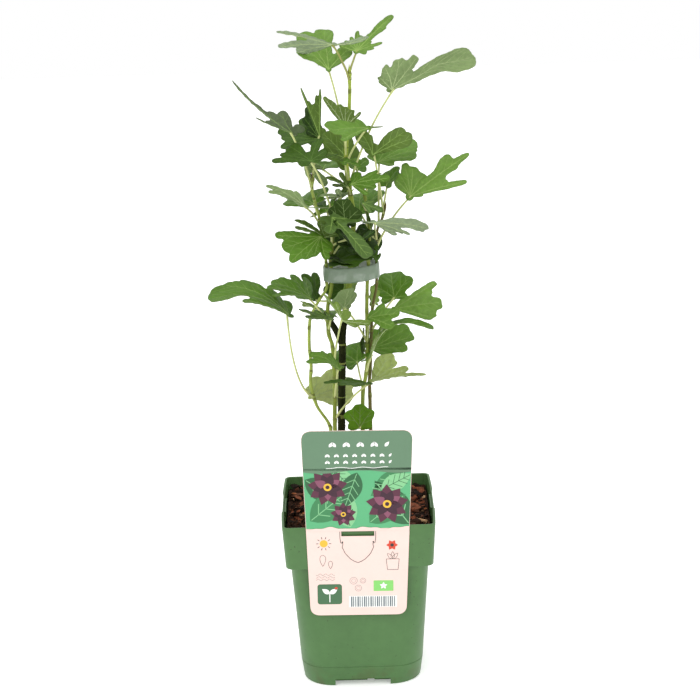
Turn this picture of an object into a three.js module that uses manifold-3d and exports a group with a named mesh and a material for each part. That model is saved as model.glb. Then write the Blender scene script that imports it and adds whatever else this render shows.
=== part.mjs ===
// Young potted fig (Ficus carica): several shoots with large lobed leaves in a square nursery pot,
// with potting mix, a band round the shoots and a plant card hung on the pot's rim.
// Millimetres, +Z up. The origin is the centre of the pot's flat underside; the card faces -Y.
import * as THREE from "three";
import { mergeVertices } from "three/addons/utils/BufferGeometryUtils.js";
import Module from "manifold-3d";

const wasm = await Module();
wasm.setup();

// Driving dimensions
const clearance = 0.3;
const pot = {
  height: 153, wall: 2, floorTop: 8,
  collarBottom: 114, collarHalf: [63.2, 65.4], collarCorner: [7, 6], collarBow: 1.3,
  bodyHalf: [51.2, 53.4, 59.2], bodyCorner: [27, 25, 10], grooveAt: 18,
  notchWidth: 48, notchHeight: 6, blockHalf: 41.5, channelWidth: 6, channelAt: 7,
  panelWidth: 50, panelDepth: 1,
};
const soil = { top: 143, wallGap: 1.2, flatShare: 0.5, lump: 2.6 };
const card = {
  bottom: 70.6, top: 240.8, widths: [82.8, 93.2], corner: 9, thick: 0.6, at: -0.9, turn: 0.9,
  slotWidth: 28, slot: [144.6, 149.2], hookWidth: 28, hookDepth: 8,
};
const band = { at: 359.5, height: 13, halfWide: 24, halfDeep: 15.5, thick: 0.6, tilt: 3 };
const leaf = { thick: 0.9, edgePoints: 22, spine: [0, 0.35, 0.7], stalkRadii: [0.95, 0.75] };

// Small repeatable random numbers, so that every run gives the same plant
function seeded(seed) {
  let state = seed;
  return () => {
    state = (state * 16807) % 2147483647;
    return state / 2147483647;
  };
}

const degrees = THREE.MathUtils.degToRad;
const { lerp } = THREE.MathUtils;

// Joining helpers
function toSolid(geometry) {
  const bare = geometry.clone();
  for (const name of Object.keys(bare.attributes)) if (name !== "position") bare.deleteAttribute(name);
  const merged = mergeVertices(bare, 1e-4);
  const vertProperties = new Float32Array(merged.attributes.position.array);
  const triVerts = new Uint32Array(merged.index.array);
  return new wasm.Manifold(new wasm.Mesh({ numProp: 3, vertProperties, triVerts }));
}
function toGeometry(solid) {
  const mesh = solid.getMesh();
  const geometry = new THREE.BufferGeometry();
  geometry.setAttribute("position", new THREE.BufferAttribute(new Float32Array(mesh.vertProperties), 3));
  geometry.setIndex(new THREE.BufferAttribute(new Uint32Array(mesh.triVerts), 1));
  geometry.computeVertexNormals();
  return geometry;
}
const joined = (solids) => solids.reduce((a, b) => a.add(b));

// A closed skin over rings of equal count, counter-clockwise seen from the last ring's side, with fan caps
function loft(rings) {
  const count = rings[0].length;
  const points = rings.flat();
  const faces = [];
  for (let r = 0; r + 1 < rings.length; r++)
    for (let i = 0; i < count; i++) {
      const j = (i + 1) % count;
      const [a, b, c, d] = [r * count + i, r * count + j, (r + 1) * count + j, (r + 1) * count + i];
      faces.push(a, b, c, a, c, d);
    }
  const middle = (ring) => ring.reduce((s, p) => s.add(p), new THREE.Vector3()).divideScalar(ring.length);
  points.push(middle(rings[0]), middle(rings[rings.length - 1]));
  const [low, high, last] = [points.length - 2, points.length - 1, (rings.length - 1) * count];
  for (let i = 0; i < count; i++) {
    const j = (i + 1) % count;
    faces.push(low, j, i, high, last + i, last + j);
  }
  const geometry = new THREE.BufferGeometry().setFromPoints(points);
  geometry.setIndex(faces);
  return geometry;
}

// One ring of a square with round corners, at one height; its left and right sides may bow out
function squareRing(half, corner, z, bow = 0, steps = 5) {
  const ring = [];
  const inner = half - corner;
  for (let side = 0; side < 4; side++) {
    const toward = (side + 0.5) * (Math.PI / 2);
    const [cx, cy] = [Math.sign(Math.cos(toward)), Math.sign(Math.sin(toward))];
    for (let k = 0; k <= steps; k++) {
      const angle = (side + k / steps) * (Math.PI / 2);
      const [x, y] = [cx * inner + corner * Math.cos(angle), cy * inner + corner * Math.sin(angle)];
      ring.push(new THREE.Vector3(x, y, z));
    }
    if (side % 2)
      for (const t of [0.75, 0.5, 0.25, 0, -0.25, -0.5, -0.75])
        ring.push(new THREE.Vector3(cx * (half + bow * (1 - t * t)), cy * inner * t, z));
  }
  return ring;
}
function box(x0, x1, y0, y1, z0, z1) {
  const geometry = new THREE.BoxGeometry(x1 - x0, y1 - y0, z1 - z0);
  geometry.translate((x0 + x1) / 2, (y0 + y1) / 2, (z0 + z1) / 2);
  return toSolid(geometry);
}

// Pot: a thin wall over a floor, a wider collar round the top, feet between drain channels below
function potRings(inset, bottom, top) {
  const p = pot;
  const bodyAt = (z) => {
    const t = (z - p.grooveAt) / (p.collarBottom - p.grooveAt);
    const low = Math.max(0, z) / p.grooveAt;
    return t >= 0
      ? [lerp(p.bodyHalf[1], p.bodyHalf[2], t), lerp(p.bodyCorner[1], p.bodyCorner[2], t)]
      : [lerp(p.bodyHalf[0], p.bodyHalf[1], low), lerp(p.bodyCorner[0], p.bodyCorner[1], low)];
  };
  const ring = (half, corner, z, bow) => squareRing(half - inset, Math.max(1, corner - inset), z, bow);
  const shelf = p.collarBottom + inset;
  return [
    ...[bottom, p.grooveAt, 50, 82, shelf].map((z) => ring(...bodyAt(z), z)),
    ring(p.collarHalf[0], p.collarCorner[0], shelf + 0.6),
    ring(p.collarHalf[1], p.collarCorner[1], top, p.collarBow),
  ];
}
function makePot() {
  const p = pot;
  let shell = toSolid(loft(potRings(0, 0, p.height)));
  shell = shell.subtract(toSolid(loft(potRings(p.wall, p.floorTop, p.height + 1))));
  const reach = p.bodyHalf[1] + 2;
  const under = p.floorTop - 2;
  // The groove round the feet, between the outer skirt and the inner block
  const skirtHalf = p.bodyHalf[0] - p.wall;
  const skirt = toSolid(loft([squareRing(skirtHalf, 25, -1), squareRing(skirtHalf, 25, under)]));
  const block = toSolid(loft([squareRing(p.blockHalf, 19, -2), squareRing(p.blockHalf, 19, under + 1)]));
  shell = shell.subtract(skirt.subtract(block));
  const [half, low] = [p.notchWidth / 2, p.channelAt - p.channelWidth / 2];
  for (const [x, y] of [[1, 0], [0, 1]]) {
    const span = (w, l) => (x ? [-l, l, -w, w] : [-w, w, -l, l]);
    const inner = p.blockHalf + 2;
    const notch = box(...span(half, reach), -1, p.notchHeight);
    const keep = box(...span(half + 1, inner), -2, p.notchHeight + 1);
    shell = shell.subtract(notch.subtract(keep));
    const along = x ? [-reach, reach, low, low + p.channelWidth] : [low, low + p.channelWidth, -reach, reach];
    shell = shell.subtract(box(...along, -1, p.notchHeight));
  }
  // The shallow panel in the middle of each side of the collar
  const lean = Math.atan2(p.collarHalf[1] - p.collarHalf[0], p.height - p.collarBottom);
  for (let side = 0; side < 4; side++) {
    const panel = new THREE.BoxGeometry(p.panelWidth, 6, 2 * p.height);
    panel.translate(0, 3, 0);
    panel.rotateX(-lean);
    panel.translate(0, p.collarHalf[1] - p.panelDepth + (side % 2) * p.collarBow, p.height);
    panel.rotateZ((side * Math.PI) / 2);
    const above = box(-80, 80, -80, 80, p.collarBottom + 2, p.height + 1);
    shell = shell.subtract(toSolid(panel).intersect(above));
  }
  return shell;
}

// Potting mix: fills the pot, flat round the stems and lumpy towards the rim
function makeSoil() {
  const random = seeded(11);
  const rings = potRings(pot.wall + soil.wallGap, pot.floorTop + clearance, soil.top + 6);
  const walls = rings.slice(0, 6);
  const rim = potRings(pot.wall + soil.wallGap, pot.floorTop, pot.height).pop();
  const share = (soil.top - pot.collarBottom) / (pot.height - pot.collarBottom);
  const top = rings[5].map((p, i) => p.clone().lerp(rim[i], share).setZ(soil.top));
  const lumpy = [0.97, 0.82, 0.66].map((scale) =>
    top.map((p) => {
      const rise = (random() - 0.45) * 2 * soil.lump;
      return new THREE.Vector3(p.x * scale, p.y * scale, soil.top + rise);
    }));
  const flat = top.map((p) => new THREE.Vector3(p.x * soil.flatShare, p.y * soil.flatShare, soil.top));
  return toSolid(loft([...walls, top, ...lumpy, flat]));
}

// Plant card: a tapered board with round corners and a slot, which lies on the collar
// and hooks over the rim by a tab behind it
function makeCard() {
  const [w0, w1] = card.widths.map((w) => w / 2);
  const lean = Math.atan2(pot.collarHalf[1] - pot.collarHalf[0], pot.height - pot.collarBottom);
  const [low, high, r] = [card.bottom - pot.height, card.top - pot.height, card.corner];
  const shape = new THREE.Shape();
  shape.moveTo(-w0 + r, low).lineTo(w0 - r, low).quadraticCurveTo(w0, low, w0, low + r);
  shape.lineTo(w1, high - r).quadraticCurveTo(w1, high, w1 - r, high).lineTo(-w1 + r, high);
  shape.quadraticCurveTo(-w1, high, -w1, high - r).lineTo(-w0, low + r);
  shape.quadraticCurveTo(-w0, low, -w0 + r, low);
  const [s0, s1, half] = [card.slot[0] - pot.height, card.slot[1] - pot.height, card.slotWidth / 2];
  const slot = new THREE.Path();
  slot.moveTo(-half, s0).lineTo(-half, s1).lineTo(half, s1).lineTo(half, s0).lineTo(-half, s0);
  shape.holes.push(slot);
  const flatBoard = { depth: card.thick, bevelEnabled: false, curveSegments: 5 };
  const board = new THREE.ExtrudeGeometry(shape, flatBoard);
  board.rotateX(Math.PI / 2);
  board.rotateY(degrees(card.turn));
  board.rotateX(lean);
  board.translate(card.at, -pot.collarHalf[1] - clearance - 0.1, pot.height);
  const hook = card.hookWidth / 2;
  const front = -pot.collarHalf[1] - clearance - 0.3;
  const back = -pot.collarHalf[1] + pot.wall + clearance + 0.1;
  const level = pot.height + clearance;
  const over = box(-hook, hook, front - 0.25, back + card.thick, level, level + card.thick);
  const tab = new THREE.BoxGeometry(card.hookWidth, card.thick, card.hookDepth);
  tab.translate(0, card.thick / 2, -card.hookDepth / 2 + 0.5);
  tab.rotateX(lean);
  tab.translate(0, back, level);
  return toSolid(board).add(over).add(toSolid(tab));
}

// Band: a flat plastic loop round the shoots
function makeBand() {
  const ringOf = (grow, z) => Array.from({ length: 28 }, (_, i) => {
    const angle = (i / 28) * 2 * Math.PI;
    const [rx, ry] = [band.halfWide + grow, band.halfDeep + grow];
    return new THREE.Vector3(rx * Math.cos(angle), ry * Math.sin(angle), z);
  });
  const half = band.height / 2;
  const outer = toSolid(loft([ringOf(0, -half), ringOf(0, half)]));
  const inner = toSolid(loft([ringOf(-band.thick, -half - 1), ringOf(-band.thick, half + 1)]));
  const solid = outer.subtract(inner);
  const geometry = toGeometry(solid);
  geometry.rotateY(THREE.MathUtils.degToRad(-band.tilt));
  geometry.translate(0, 0, band.at);
  return toSolid(geometry);
}

// Shoots: centre lines by height, each point [x, y, z], with radii at foot and tip
// and the length of the tip's bud
const ground = soil.top + clearance;
const shoots = {
  trunk: {
    route: [[-13, 0, ground], [-13, 0, 189], [-12, 0, 231], [-10, 0, 280], [-9, 0, 304], [-7, 3, 317]],
    radii: [3.6, 2.9], flare: 2.4,
  },
  leader: {
    route: [[-9, 0, 304], [-7, 3, 317], [-2, 5, 348], [1, 6, 376], [3, 5, 406], [0, 3, 432],
      [-2, 0, 453], [-1, 0, 469], [2, 0, 497], [3, 0, 521], [3, 0, 535]],
    radii: [2.9, 1.2], bud: 12,
  },
  left: {
    route: [[-18, -12, ground], [-18, -14, 224], [-17, -14, 267], [-18, -13, 298], [-21, -12, 309],
      [-21, -10, 329], [-17.1, -7.2, 350], [-17, -7.6, 370], [-16, -8, 380], [-14, -8, 398],
      [-12, -8, 412], [-9, -6, 424]],
    radii: [2, 1.4], bud: 7,
  },
  thin: {
    route: [[-21, 10, ground], [-22, 10, 215], [-34, 8, 240], [-38, 6, 261], [-37, 6, 275],
      [-38, 4, 294], [-37, 4, 314], [-28, 1, 335], [-21.1, 0, 346.5], [-21.2, 0, 356], [-21.2, 0, 366],
      [-24, 2, 387], [-26, 2, 408], [-29, 2, 420], [-31, 2, 429], [-30, 2, 444]],
    radii: [1.7, 1.1], bud: 6,
  },
  right: {
    route: [[5, -12, ground], [6, -12, 230], [7, -12, 255], [10, -11, 271], [12, -10, 287],
      [12, -9, 319], [13, -8, 348], [15, -8, 373], [16, -6, 391], [15, -4, 409], [12, -2, 430],
      [10, 0, 443]],
    radii: [2, 1.2], bud: 7,
  },
  far_right: {
    route: [[12, 10, ground], [13, 10, 225], [13, 10, 257], [14, 10, 271], [15, 9, 291], [17, 6, 324],
      [21, 0, 347], [21.4, 0, 357], [21.4, 0, 366], [21.5, 4, 380], [23, 6, 393], [28, 6, 405],
      [31, 6, 418]],
    radii: [1.9, 1], bud: 10,
  },
};
// The shoot's centre at a height: a smooth curve through its route that never swings past a point
function centreAt(shoot, z) {
  const { route } = shoots[shoot];
  const last = route.length - 1;
  let i = 0;
  while (i < last - 1 && z > route[i + 1][2]) i++;
  const rate = (k, c) => (route[k + 1][c] - route[k][c]) / (route[k + 1][2] - route[k][2]);
  const slope = (k, c) => {
    const [a, b] = [rate(Math.max(0, k - 1), c), rate(Math.min(last - 1, k), c)];
    return a * b > 0 ? (2 * a * b) / (a + b) : 0;
  };
  const [p, q] = [route[i], route[i + 1]];
  const span = q[2] - p[2];
  const t = (z - p[2]) / span;
  const at = (c) => p[c] * (2 * t ** 3 - 3 * t * t + 1) + slope(i, c) * span * (t ** 3 - 2 * t * t + t)
    + q[c] * (3 * t * t - 2 * t ** 3) + slope(i + 1, c) * span * (t ** 3 - t * t);
  return new THREE.Vector3(at(0), at(1), z);
}
// The shoot's radius at a height, with the trunk's root flare and the swelling and point of a tip bud
function radiusAt(shoot, z) {
  const { route, radii, bud = 0, flare = 0 } = shoots[shoot];
  const [low, high] = [route[0][2], route[route.length - 1][2]];
  const r = lerp(radii[0], radii[1], (z - low) / (high - low)) + flare * Math.max(0, 1 - (z - low) / 16) ** 2;
  const t = bud ? (z - high + bud) / bud : -1;
  if (t <= 0) return r;
  return t < 0.35 ? r * (1 + t) : Math.max(0.25, r * 1.35 * (1 - ((t - 0.35) / 0.65) ** 1.4));
}
function limb(shoot, from, to, sides = 6) {
  const { route, bud = 0 } = shoots[shoot];
  const high = route[route.length - 1][2];
  const steps = Math.max(2, Math.ceil((to - from) / 13));
  const heights = Array.from({ length: steps + 1 }, (_, k) => lerp(from, to, k / steps));
  if (bud && to > high - bud) {
    const below = heights.filter((z) => z < high - bud - 3);
    heights.splice(0, heights.length, ...below, high - bud, high - 0.65 * bud, high - 0.25 * bud, high);
  }
  const rings = heights.map((z) => {
    const [centre, r] = [centreAt(shoot, z), radiusAt(shoot, z)];
    return Array.from({ length: sides }, (_, i) => {
      const angle = (i / sides) * 2 * Math.PI;
      return new THREE.Vector3(centre.x + r * Math.cos(angle), centre.y + r * Math.sin(angle), z);
    });
  });
  return toSolid(loft(rings));
}
// A tapering round bar along points, for leaf stalks and the cut branch
function bar(points, r0, r1, sides) {
  const rings = points.map((p, k) => {
    const [before, after] = [points[Math.max(k - 1, 0)], points[Math.min(k + 1, points.length - 1)]];
    const along = after.clone().sub(before).normalize();
    const side = new THREE.Vector3(-along.y, along.x, 0.01).cross(along).normalize();
    const up = along.clone().cross(side);
    const r = lerp(r0, r1, k / (points.length - 1));
    return Array.from({ length: sides }, (_, i) => {
      const angle = (i / sides) * 2 * Math.PI;
      return p.clone().addScaledVector(side, r * Math.cos(angle)).addScaledVector(up, r * Math.sin(angle));
    });
  });
  return toSolid(loft(rings));
}

// Leaf outlines, as lobes round the stalk: angle from the midrib, length, half width in degrees, bluntness.
// The first eight are the plant's common forms, the others belong to the large leaves that stand clear
const outlines = {
  hand: [[0, 1, 19, 2.2], [44, 0.84, 20, 2.2], [-44, 0.84, 20, 2.2], [92, 0.5, 30, 2.5],
    [-92, 0.5, 30, 2.5], [0, 0.28, 140, 6]],
  swallow: [[0, 1, 15, 2.2], [36, 0.9, 15, 2.2], [-36, 0.62, 20, 2.2], [-100, 0.6, 22, 2.2],
    [0, 0.3, 140, 6]],
  trident: [[0, 1, 20, 2.4], [50, 0.68, 24, 2.4], [-50, 0.68, 24, 2.4], [0, 0.36, 140, 6]],
  paddle: [[0, 1, 14, 5], [50, 0.52, 28, 3], [-50, 0.42, 28, 3], [0, 0.3, 140, 6]],
  broad: [[0, 1, 42, 3], [46, 0.8, 36, 3], [-46, 0.8, 36, 3], [96, 0.4, 36, 2.5], [-96, 0.4, 36, 2.5]],
  oval: [[0, 1, 34, 2.2], [34, 0.8, 40, 2.4], [-34, 0.8, 40, 2.4], [80, 0.46, 55, 2.5],
    [-80, 0.46, 55, 2.5]],
  mitten: [[0, 1, 28, 3], [58, 0.74, 28, 3], [-50, 0.5, 36, 2.4], [110, 0.3, 40, 2.5],
    [-100, 0.3, 40, 2.5]],
  strap: [[0, 1, 17, 3], [30, 0.6, 20, 2.4], [-30, 0.6, 20, 2.4]],
  crownLeft: [[11, 1.04, 9, 2.4], [-16, 1.02, 12, 3], [-36, 0.8, 18, 3], [162, 0.62, 14, 2.5],
    [-3, 0.5, 30, 3]],
  crownRight: [[1.5, 1.03, 8.5, 3], [-6, 0.74, 5, 3], [-14, 0.34, 8, 3], [-22, 0.3, 10, 3],
    [-31, 0.5, 9, 2.6], [-44, 0.34, 12, 3], [-62, 0.2, 24, 3], [8, 0.42, 8, 3], [20, 0.31, 20, 4],
    [40, 0.4, 13, 3], [62, 0.31, 16, 3], [88, 0.3, 20, 3], [112, 0.34, 16, 2.5]],
  crownBack: [[24, 1.02, 20, 3], [-4, 1, 20, 5], [50, 0.76, 12, 5], [-50, 0.66, 24, 3],
    [40, 0.88, 14, 3], [0, 0.4, 60, 4]],
  longPaddle: [[0, 1, 18.5, 5], [8, 0.87, 12, 4], [-37, 0.5, 12, 4], [-24, 0.33, 10, 4],
    [-50, 0.41, 18, 3], [-62, 0.41, 18, 3], [-88, 0.37, 18, 3], [-106, 0.29, 14, 3],
    [-116, 0.22, 18, 2.5], [0, 0.2, 34, 3]],
  streamer: [[2.5, 1, 3.5, 2.2], [4, 0.62, 7, 3], [12, 0.44, 14, 3], [36, 0.37, 26, 3],
    [95, 0.21, 40, 3], [-23, 0.51, 5, 2.6], [-18, 0.36, 9, 3], [-6, 0.33, 26, 3]],
  horns: [[-0.5, 1.07, 3.5, 2.2], [-4, 0.75, 5, 3], [-22, 0.98, 4, 2.2], [-17, 0.84, 6, 3],
    [-11, 0.68, 12, 3], [-13, 0.34, 20, 3], [-40, 0.2, 50, 3]],
  thumb: [[-3, 1.02, 15, 3], [12, 0.78, 16, 3], [34, 0.44, 30, 3], [-30, 0.4, 30, 3]],
  wide: [[32, 0.9, 16, 3], [12, 0.88, 16, 3], [-2, 1.02, 14, 3], [-34, 0.7, 24, 3], [0, 0.3, 100, 4]],
  maple: [[61, 1.08, 13, 3], [42, 0.92, 16, 3], [16, 0.96, 24, 4], [-42, 0.86, 22, 3], [-84, 0.56, 24, 3],
    [-110, 0.8, 8, 2.4], [-147, 0.68, 9, 2.4], [0, 0.36, 160, 8]],
  claw: [[0, 1.08, 8, 2.4], [4, 0.9, 10, 3], [-4, 0.66, 9, 3], [16, 0.64, 14, 3], [30, 0.54, 16, 3],
    [50, 0.48, 24, 3], [80, 0.5, 9, 3], [78, 0.33, 26, 4], [106, 0.32, 20, 3], [133, 0.66, 7, 3],
    [137, 1.03, 4.5, 2.2]],
  shield: [[27, 1.08, 8, 3], [8, 1.09, 20, 4], [-3, 1.03, 10, 3], [0, 0.4, 50, 3]],
  heart: [[-2, 1.03, 25, 3], [-17, 1.12, 16, 4], [86, 0.71, 27, 4], [62, 0.5, 18, 3],
    [48, 0.3, 90, 4]],
  fan: [[8, 1.06, 19, 3], [-7, 0.97, 12, 3], [-22, 0.94, 18, 3.5], [42, 0.52, 26, 3],
    [100, 0.36, 44, 3], [-50, 0.44, 26, 3]],
  notched: [[2, 1.05, 13, 3], [18, 0.76, 12, 3], [-18, 0.79, 16, 3], [-39, 0.82, 9, 3], [58, 0.38, 44, 3]],
  forked: [[1, 1.03, 6, 2.5], [9, 0.82, 10.5, 4], [-4, 0.8, 5, 3], [-7, 0.6, 6, 3], [-21.5, 0.85, 6, 3],
    [-16, 0.6, 12, 3], [-28, 0.2, 16, 3], [30, 0.38, 30, 4], [52, 0.42, 20, 3], [66, 0.47, 14, 3],
    [82, 0.36, 16, 3], [97, 0.33, 20, 3]],
  wings: [[-4, 1.02, 10, 3.5], [-12, 0.84, 7, 3], [5, 0.92, 6, 3], [-14, 0.55, 9, 3],
    [20, 0.69, 9, 3], [32, 0.6, 10, 3], [48, 0.56, 12, 3], [8, 0.5, 30, 4], [158, 0.24, 14, 2],
    [174, 0.6, 7, 2.2]],
  curl: [[0, 1.02, 7, 2.5], [-10, 0.88, 9, 3], [-3, 0.62, 22, 3], [14, 0.42, 26, 3], [-26, 0.26, 30, 3],
    [150, 0.7, 6, 2.2]],
  blunt: [[-43, 1.02, 14, 3], [-20, 0.96, 20, 4], [1, 1.03, 13, 3], [16, 0.82, 16, 3], [30, 0.74, 14, 3],
    [50, 0.82, 13, 3], [62, 0.6, 16, 3], [75, 0.42, 22, 3], [0, 0.3, 100, 4]],
  drooping: [[8, 1.04, 20, 5], [-8, 0.88, 10, 3], [-16, 0.72, 10, 3], [-22, 0.6, 10, 3],
    [-34, 0.42, 16, 3], [-52, 0.36, 20, 3], [-80, 0.3, 26, 3], [38, 0.77, 6, 3], [33, 0.6, 9, 3],
    [20, 0.54, 22, 4]],
  saddle: [[24, 0.98, 9, 4], [0, 1, 15, 3], [-16, 0.96, 14, 3], [-28, 0.86, 14, 3], [-52, 0.75, 20, 3],
    [-82, 0.72, 20, 3], [36, 0.5, 20, 3], [10, 0.76, 20, 3]],
  blade: [[34, 1.03, 14, 3], [8, 1.02, 20, 3], [-20, 0.56, 20, 3], [-80, 0.42, 40, 3]],
  cup: [[-22, 1.12, 18, 3], [4, 1.12, 20, 3], [30, 0.7, 24, 3], [0, 0.3, 100, 4]],
  knee: [[20, 1.18, 7.5, 4], [12, 1.02, 10, 4], [-4, 1.18, 13, 4], [-16, 1.1, 12, 4],
    [-25, 1.03, 8, 4], [24, 0.5, 14, 3], [30, 0.34, 20, 3]],
  toothed: [[4, 1.06, 14, 4], [20, 1.06, 16, 3], [40, 0.88, 22, 3], [62, 0.52, 28, 3],
    [-16, 0.88, 18, 3], [-36, 0.54, 20, 3]],
  spoon: [[-58, 0.79, 24, 4], [2, 1.03, 7, 2.5], [-12, 0.74, 14, 3], [-36, 0.66, 16, 3],
    [-20, 0.36, 60, 3]],
  canoe: [[2, 1, 9, 3], [18, 0.86, 14, 3], [30, 0.68, 12, 3], [-8, 0.5, 20, 3]],
  sash: [[0, 1.03, 7, 2.2], [14, 0.66, 16, 3], [60, 0.38, 50, 3], [128, 0.85, 18, 3.5], [150, 0.5, 16, 3]],
  lean: [[16, 1.08, 13, 4], [-4, 0.95, 16, 3], [-24, 0.68, 18, 3], [-46, 0.52, 22, 3],
    [-80, 0.32, 26, 3], [-120, 0.3, 24, 3], [30, 0.34, 20, 3]],
  sliver: [[30, 0.86, 26, 3], [8, 0.82, 16, 3], [56, 0.66, 24, 3], [92, 0.42, 30, 3],
    [-14, 0.6, 20, 3], [-50, 0.3, 30, 3], [-110, 0.2, 30, 3]],
  sail: [[-30, 0.87, 26, 3], [0, 1, 22, 3], [28, 1.01, 24, 4], [-62, 0.5, 32, 3], [-92, 0.3, 30, 3]],
};
// How far the edge lies from the stalk at an angle from the midrib, on a leaf of length 1
function edgeAt(angle, shape) {
  const turn = THREE.MathUtils.radToDeg(angle);
  let sum = 0;
  for (const [at, length, width, blunt] of outlines[shape]) {
    const off = Math.abs(((turn - at + 540) % 360) - 180) / width;
    sum += (length * Math.max(0, 1 - off ** blunt) ** 0.7) ** 8;
  }
  return Math.max(0.06, sum ** 0.125);
}
// Waists of lobes: the angle that one side of the lobe draws in to, how far out, and by what share
const waists = {
  longPaddle: [-12, 0.56, 0.45],
  forked: [2, 0.44, 0.42],
  crownBack: [0, 0.62, -0.3],
  drooping: [2, 0.66, 0.5],
};
// Draws a point of the flat leaf in to the waist of its lobe, on the side that the share's sign gives
function drawIn([x, y], shape) {
  if (!waists[shape]) return [x, y];
  const [at, out, share] = waists[shape];
  const reach = Math.hypot(x, y);
  const off = THREE.MathUtils.radToDeg(Math.atan2(y, x)) - at;
  if (off * share <= 0) return [x, y];
  const near = Math.exp(-(((reach - out) / 0.18) ** 2)) / (1 + (off / 34) ** 6);
  const angle = degrees(at + off * (1 - Math.abs(share) * near));
  return [reach * Math.cos(angle), reach * Math.sin(angle)];
}
// One side's edge from tip to stalk, no step longer than a tenth of the leaf
function fineEdge(side, shape) {
  const points = [];
  for (let i = 0; i <= 90; i++) {
    const angle = (side * i * Math.PI) / 90;
    const r = edgeAt(angle, shape);
    const next = [r * Math.cos(angle), i % 90 ? r * Math.sin(angle) : 0];
    const last = points.at(-1) ?? next;
    const steps = Math.max(1, Math.ceil(Math.hypot(next[0] - last[0], next[1] - last[1]) / 0.1));
    for (let k = 1; k <= steps; k++) {
      points.push([lerp(last[0], next[0], k / steps), lerp(last[1], next[1], k / steps)]);
    }
  }
  return points.map((point) => drawIn(point, shape));
}
// That edge by its most telling points: the flattest corner goes until few are left
function edgeOf(side, shape, count) {
  const points = fineEdge(side, shape);
  while (points.length > count + 2) {
    let [least, which] = [Infinity, 1];
    for (let i = 1; i + 1 < points.length; i++) {
      const [a, p, b] = [points[i - 1], points[i], points[i + 1]];
      const area = Math.abs((p[0] - a[0]) * (b[1] - a[1]) - (p[1] - a[1]) * (b[0] - a[0]));
      if (area < least) [least, which] = [area, i];
    }
    points.splice(which, 1);
  }
  return points;
}
// A direction from a heading round +Z (0 is +X, 90 is +Y) and a rise above level
function direction(heading, rise) {
  const [h, r] = [degrees(heading), degrees(rise)];
  return new THREE.Vector3(Math.cos(h) * Math.cos(r), Math.sin(h) * Math.cos(r), Math.sin(r));
}
// Blade axes: midrib, left and upper face, turned about the midrib by roll
function bladeAxes([, heading, rise, roll]) {
  const midrib = direction(heading, rise);
  const face = new THREE.Vector3(0, 0, 1).addScaledVector(midrib, -midrib.z).normalize();
  const left = face.clone().cross(midrib);
  const [c, s] = [Math.cos(degrees(roll)), Math.sin(degrees(roll))];
  return {
    midrib,
    left: left.clone().multiplyScalar(c).addScaledVector(face, s),
    face: face.clone().multiplyScalar(c).addScaledVector(left, -s),
  };
}
// How far the blade lifts off its plane: arched along the midrib, folded up on both sides of it
function lift(x, y, { arch, fold }) {
  return (x > 0 ? 4 * arch * x * (1 - x) : 0.3 * x * x) + fold * Math.abs(y) * (1 - 0.25 * Math.abs(y));
}
// Where a leaf's stalk leaves its shoot and where its blade starts
function stalkEnds(shoot, { foot, stalk }) {
  const start = centreAt(shoot, foot);
  return [start, start.clone().addScaledVector(direction(stalk[1], stalk[2]), stalk[0])];
}
// Places a point of the flat leaf, [x, y] with the leaf's length as 1, on its lifted blade
function bladePlacer(shoot, row) {
  const [, base] = stalkEnds(shoot, row);
  const { midrib, left, face } = bladeAxes(row.blade);
  const size = row.blade[0];
  return ([x, y], offset = 0) => base.clone().addScaledVector(midrib, size * x)
    .addScaledVector(left, size * y).addScaledVector(face, size * lift(x, y, row) + offset);
}
function makeLeaf(shoot, row) {
  const place = bladePlacer(shoot, row);
  const [left, right] = [1, -1].map((side) => edgeOf(side, row.shape, leaf.edgePoints / 2 - 1));
  const spine = leaf.spine.map((x) => [x, 0]);
  const [tip, back] = [left[0], left[left.length - 1]];
  const rim = [tip, ...left.slice(1, -1), back, ...right.slice(1, -1).reverse()];
  const flat = [...rim, ...spine];
  const halves = [
    [back, ...spine, ...left.slice(0, -1)],
    [tip, ...spine.slice().reverse(), back, ...right.slice(1, -1).reverse()],
  ];
  const points = [-leaf.thick / 2, leaf.thick / 2].flatMap((offset) => flat.map((p) => place(p, offset)));
  const faces = [];
  for (const half of halves) {
    const ids = half.map((p) => flat.indexOf(p));
    const corners = half.map((p) => new THREE.Vector2(...p));
    for (const [a, b, c] of THREE.ShapeUtils.triangulateShape(corners, [])) {
      const [i, j, k] = [ids[a], ids[b], ids[c]];
      faces.push(i + flat.length, j + flat.length, k + flat.length, k, j, i);
    }
  }
  for (let i = 0; i < rim.length; i++) {
    const j = (i + 1) % rim.length;
    faces.push(i, j, j + flat.length, i, j + flat.length, i + flat.length);
  }
  const blade = new THREE.BufferGeometry().setFromPoints(points);
  blade.setIndex(faces);
  const [start, base] = stalkEnds(shoot, row);
  const bow = row.bow ?? -0.1;
  const bend = new THREE.Vector3(
    lerp(start.x, base.x, 0.5 + bow), lerp(start.y, base.y, 0.5 + bow), lerp(start.z, base.z, 0.5 - bow));
  const stalk = new THREE.QuadraticBezierCurve3(start, bend, place([0.03, 0])).getPoints(bow > 0.1 ? 7 : 4);
  return toSolid(blade).add(bar(stalk, ...leaf.stalkRadii, 3));
}

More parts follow.
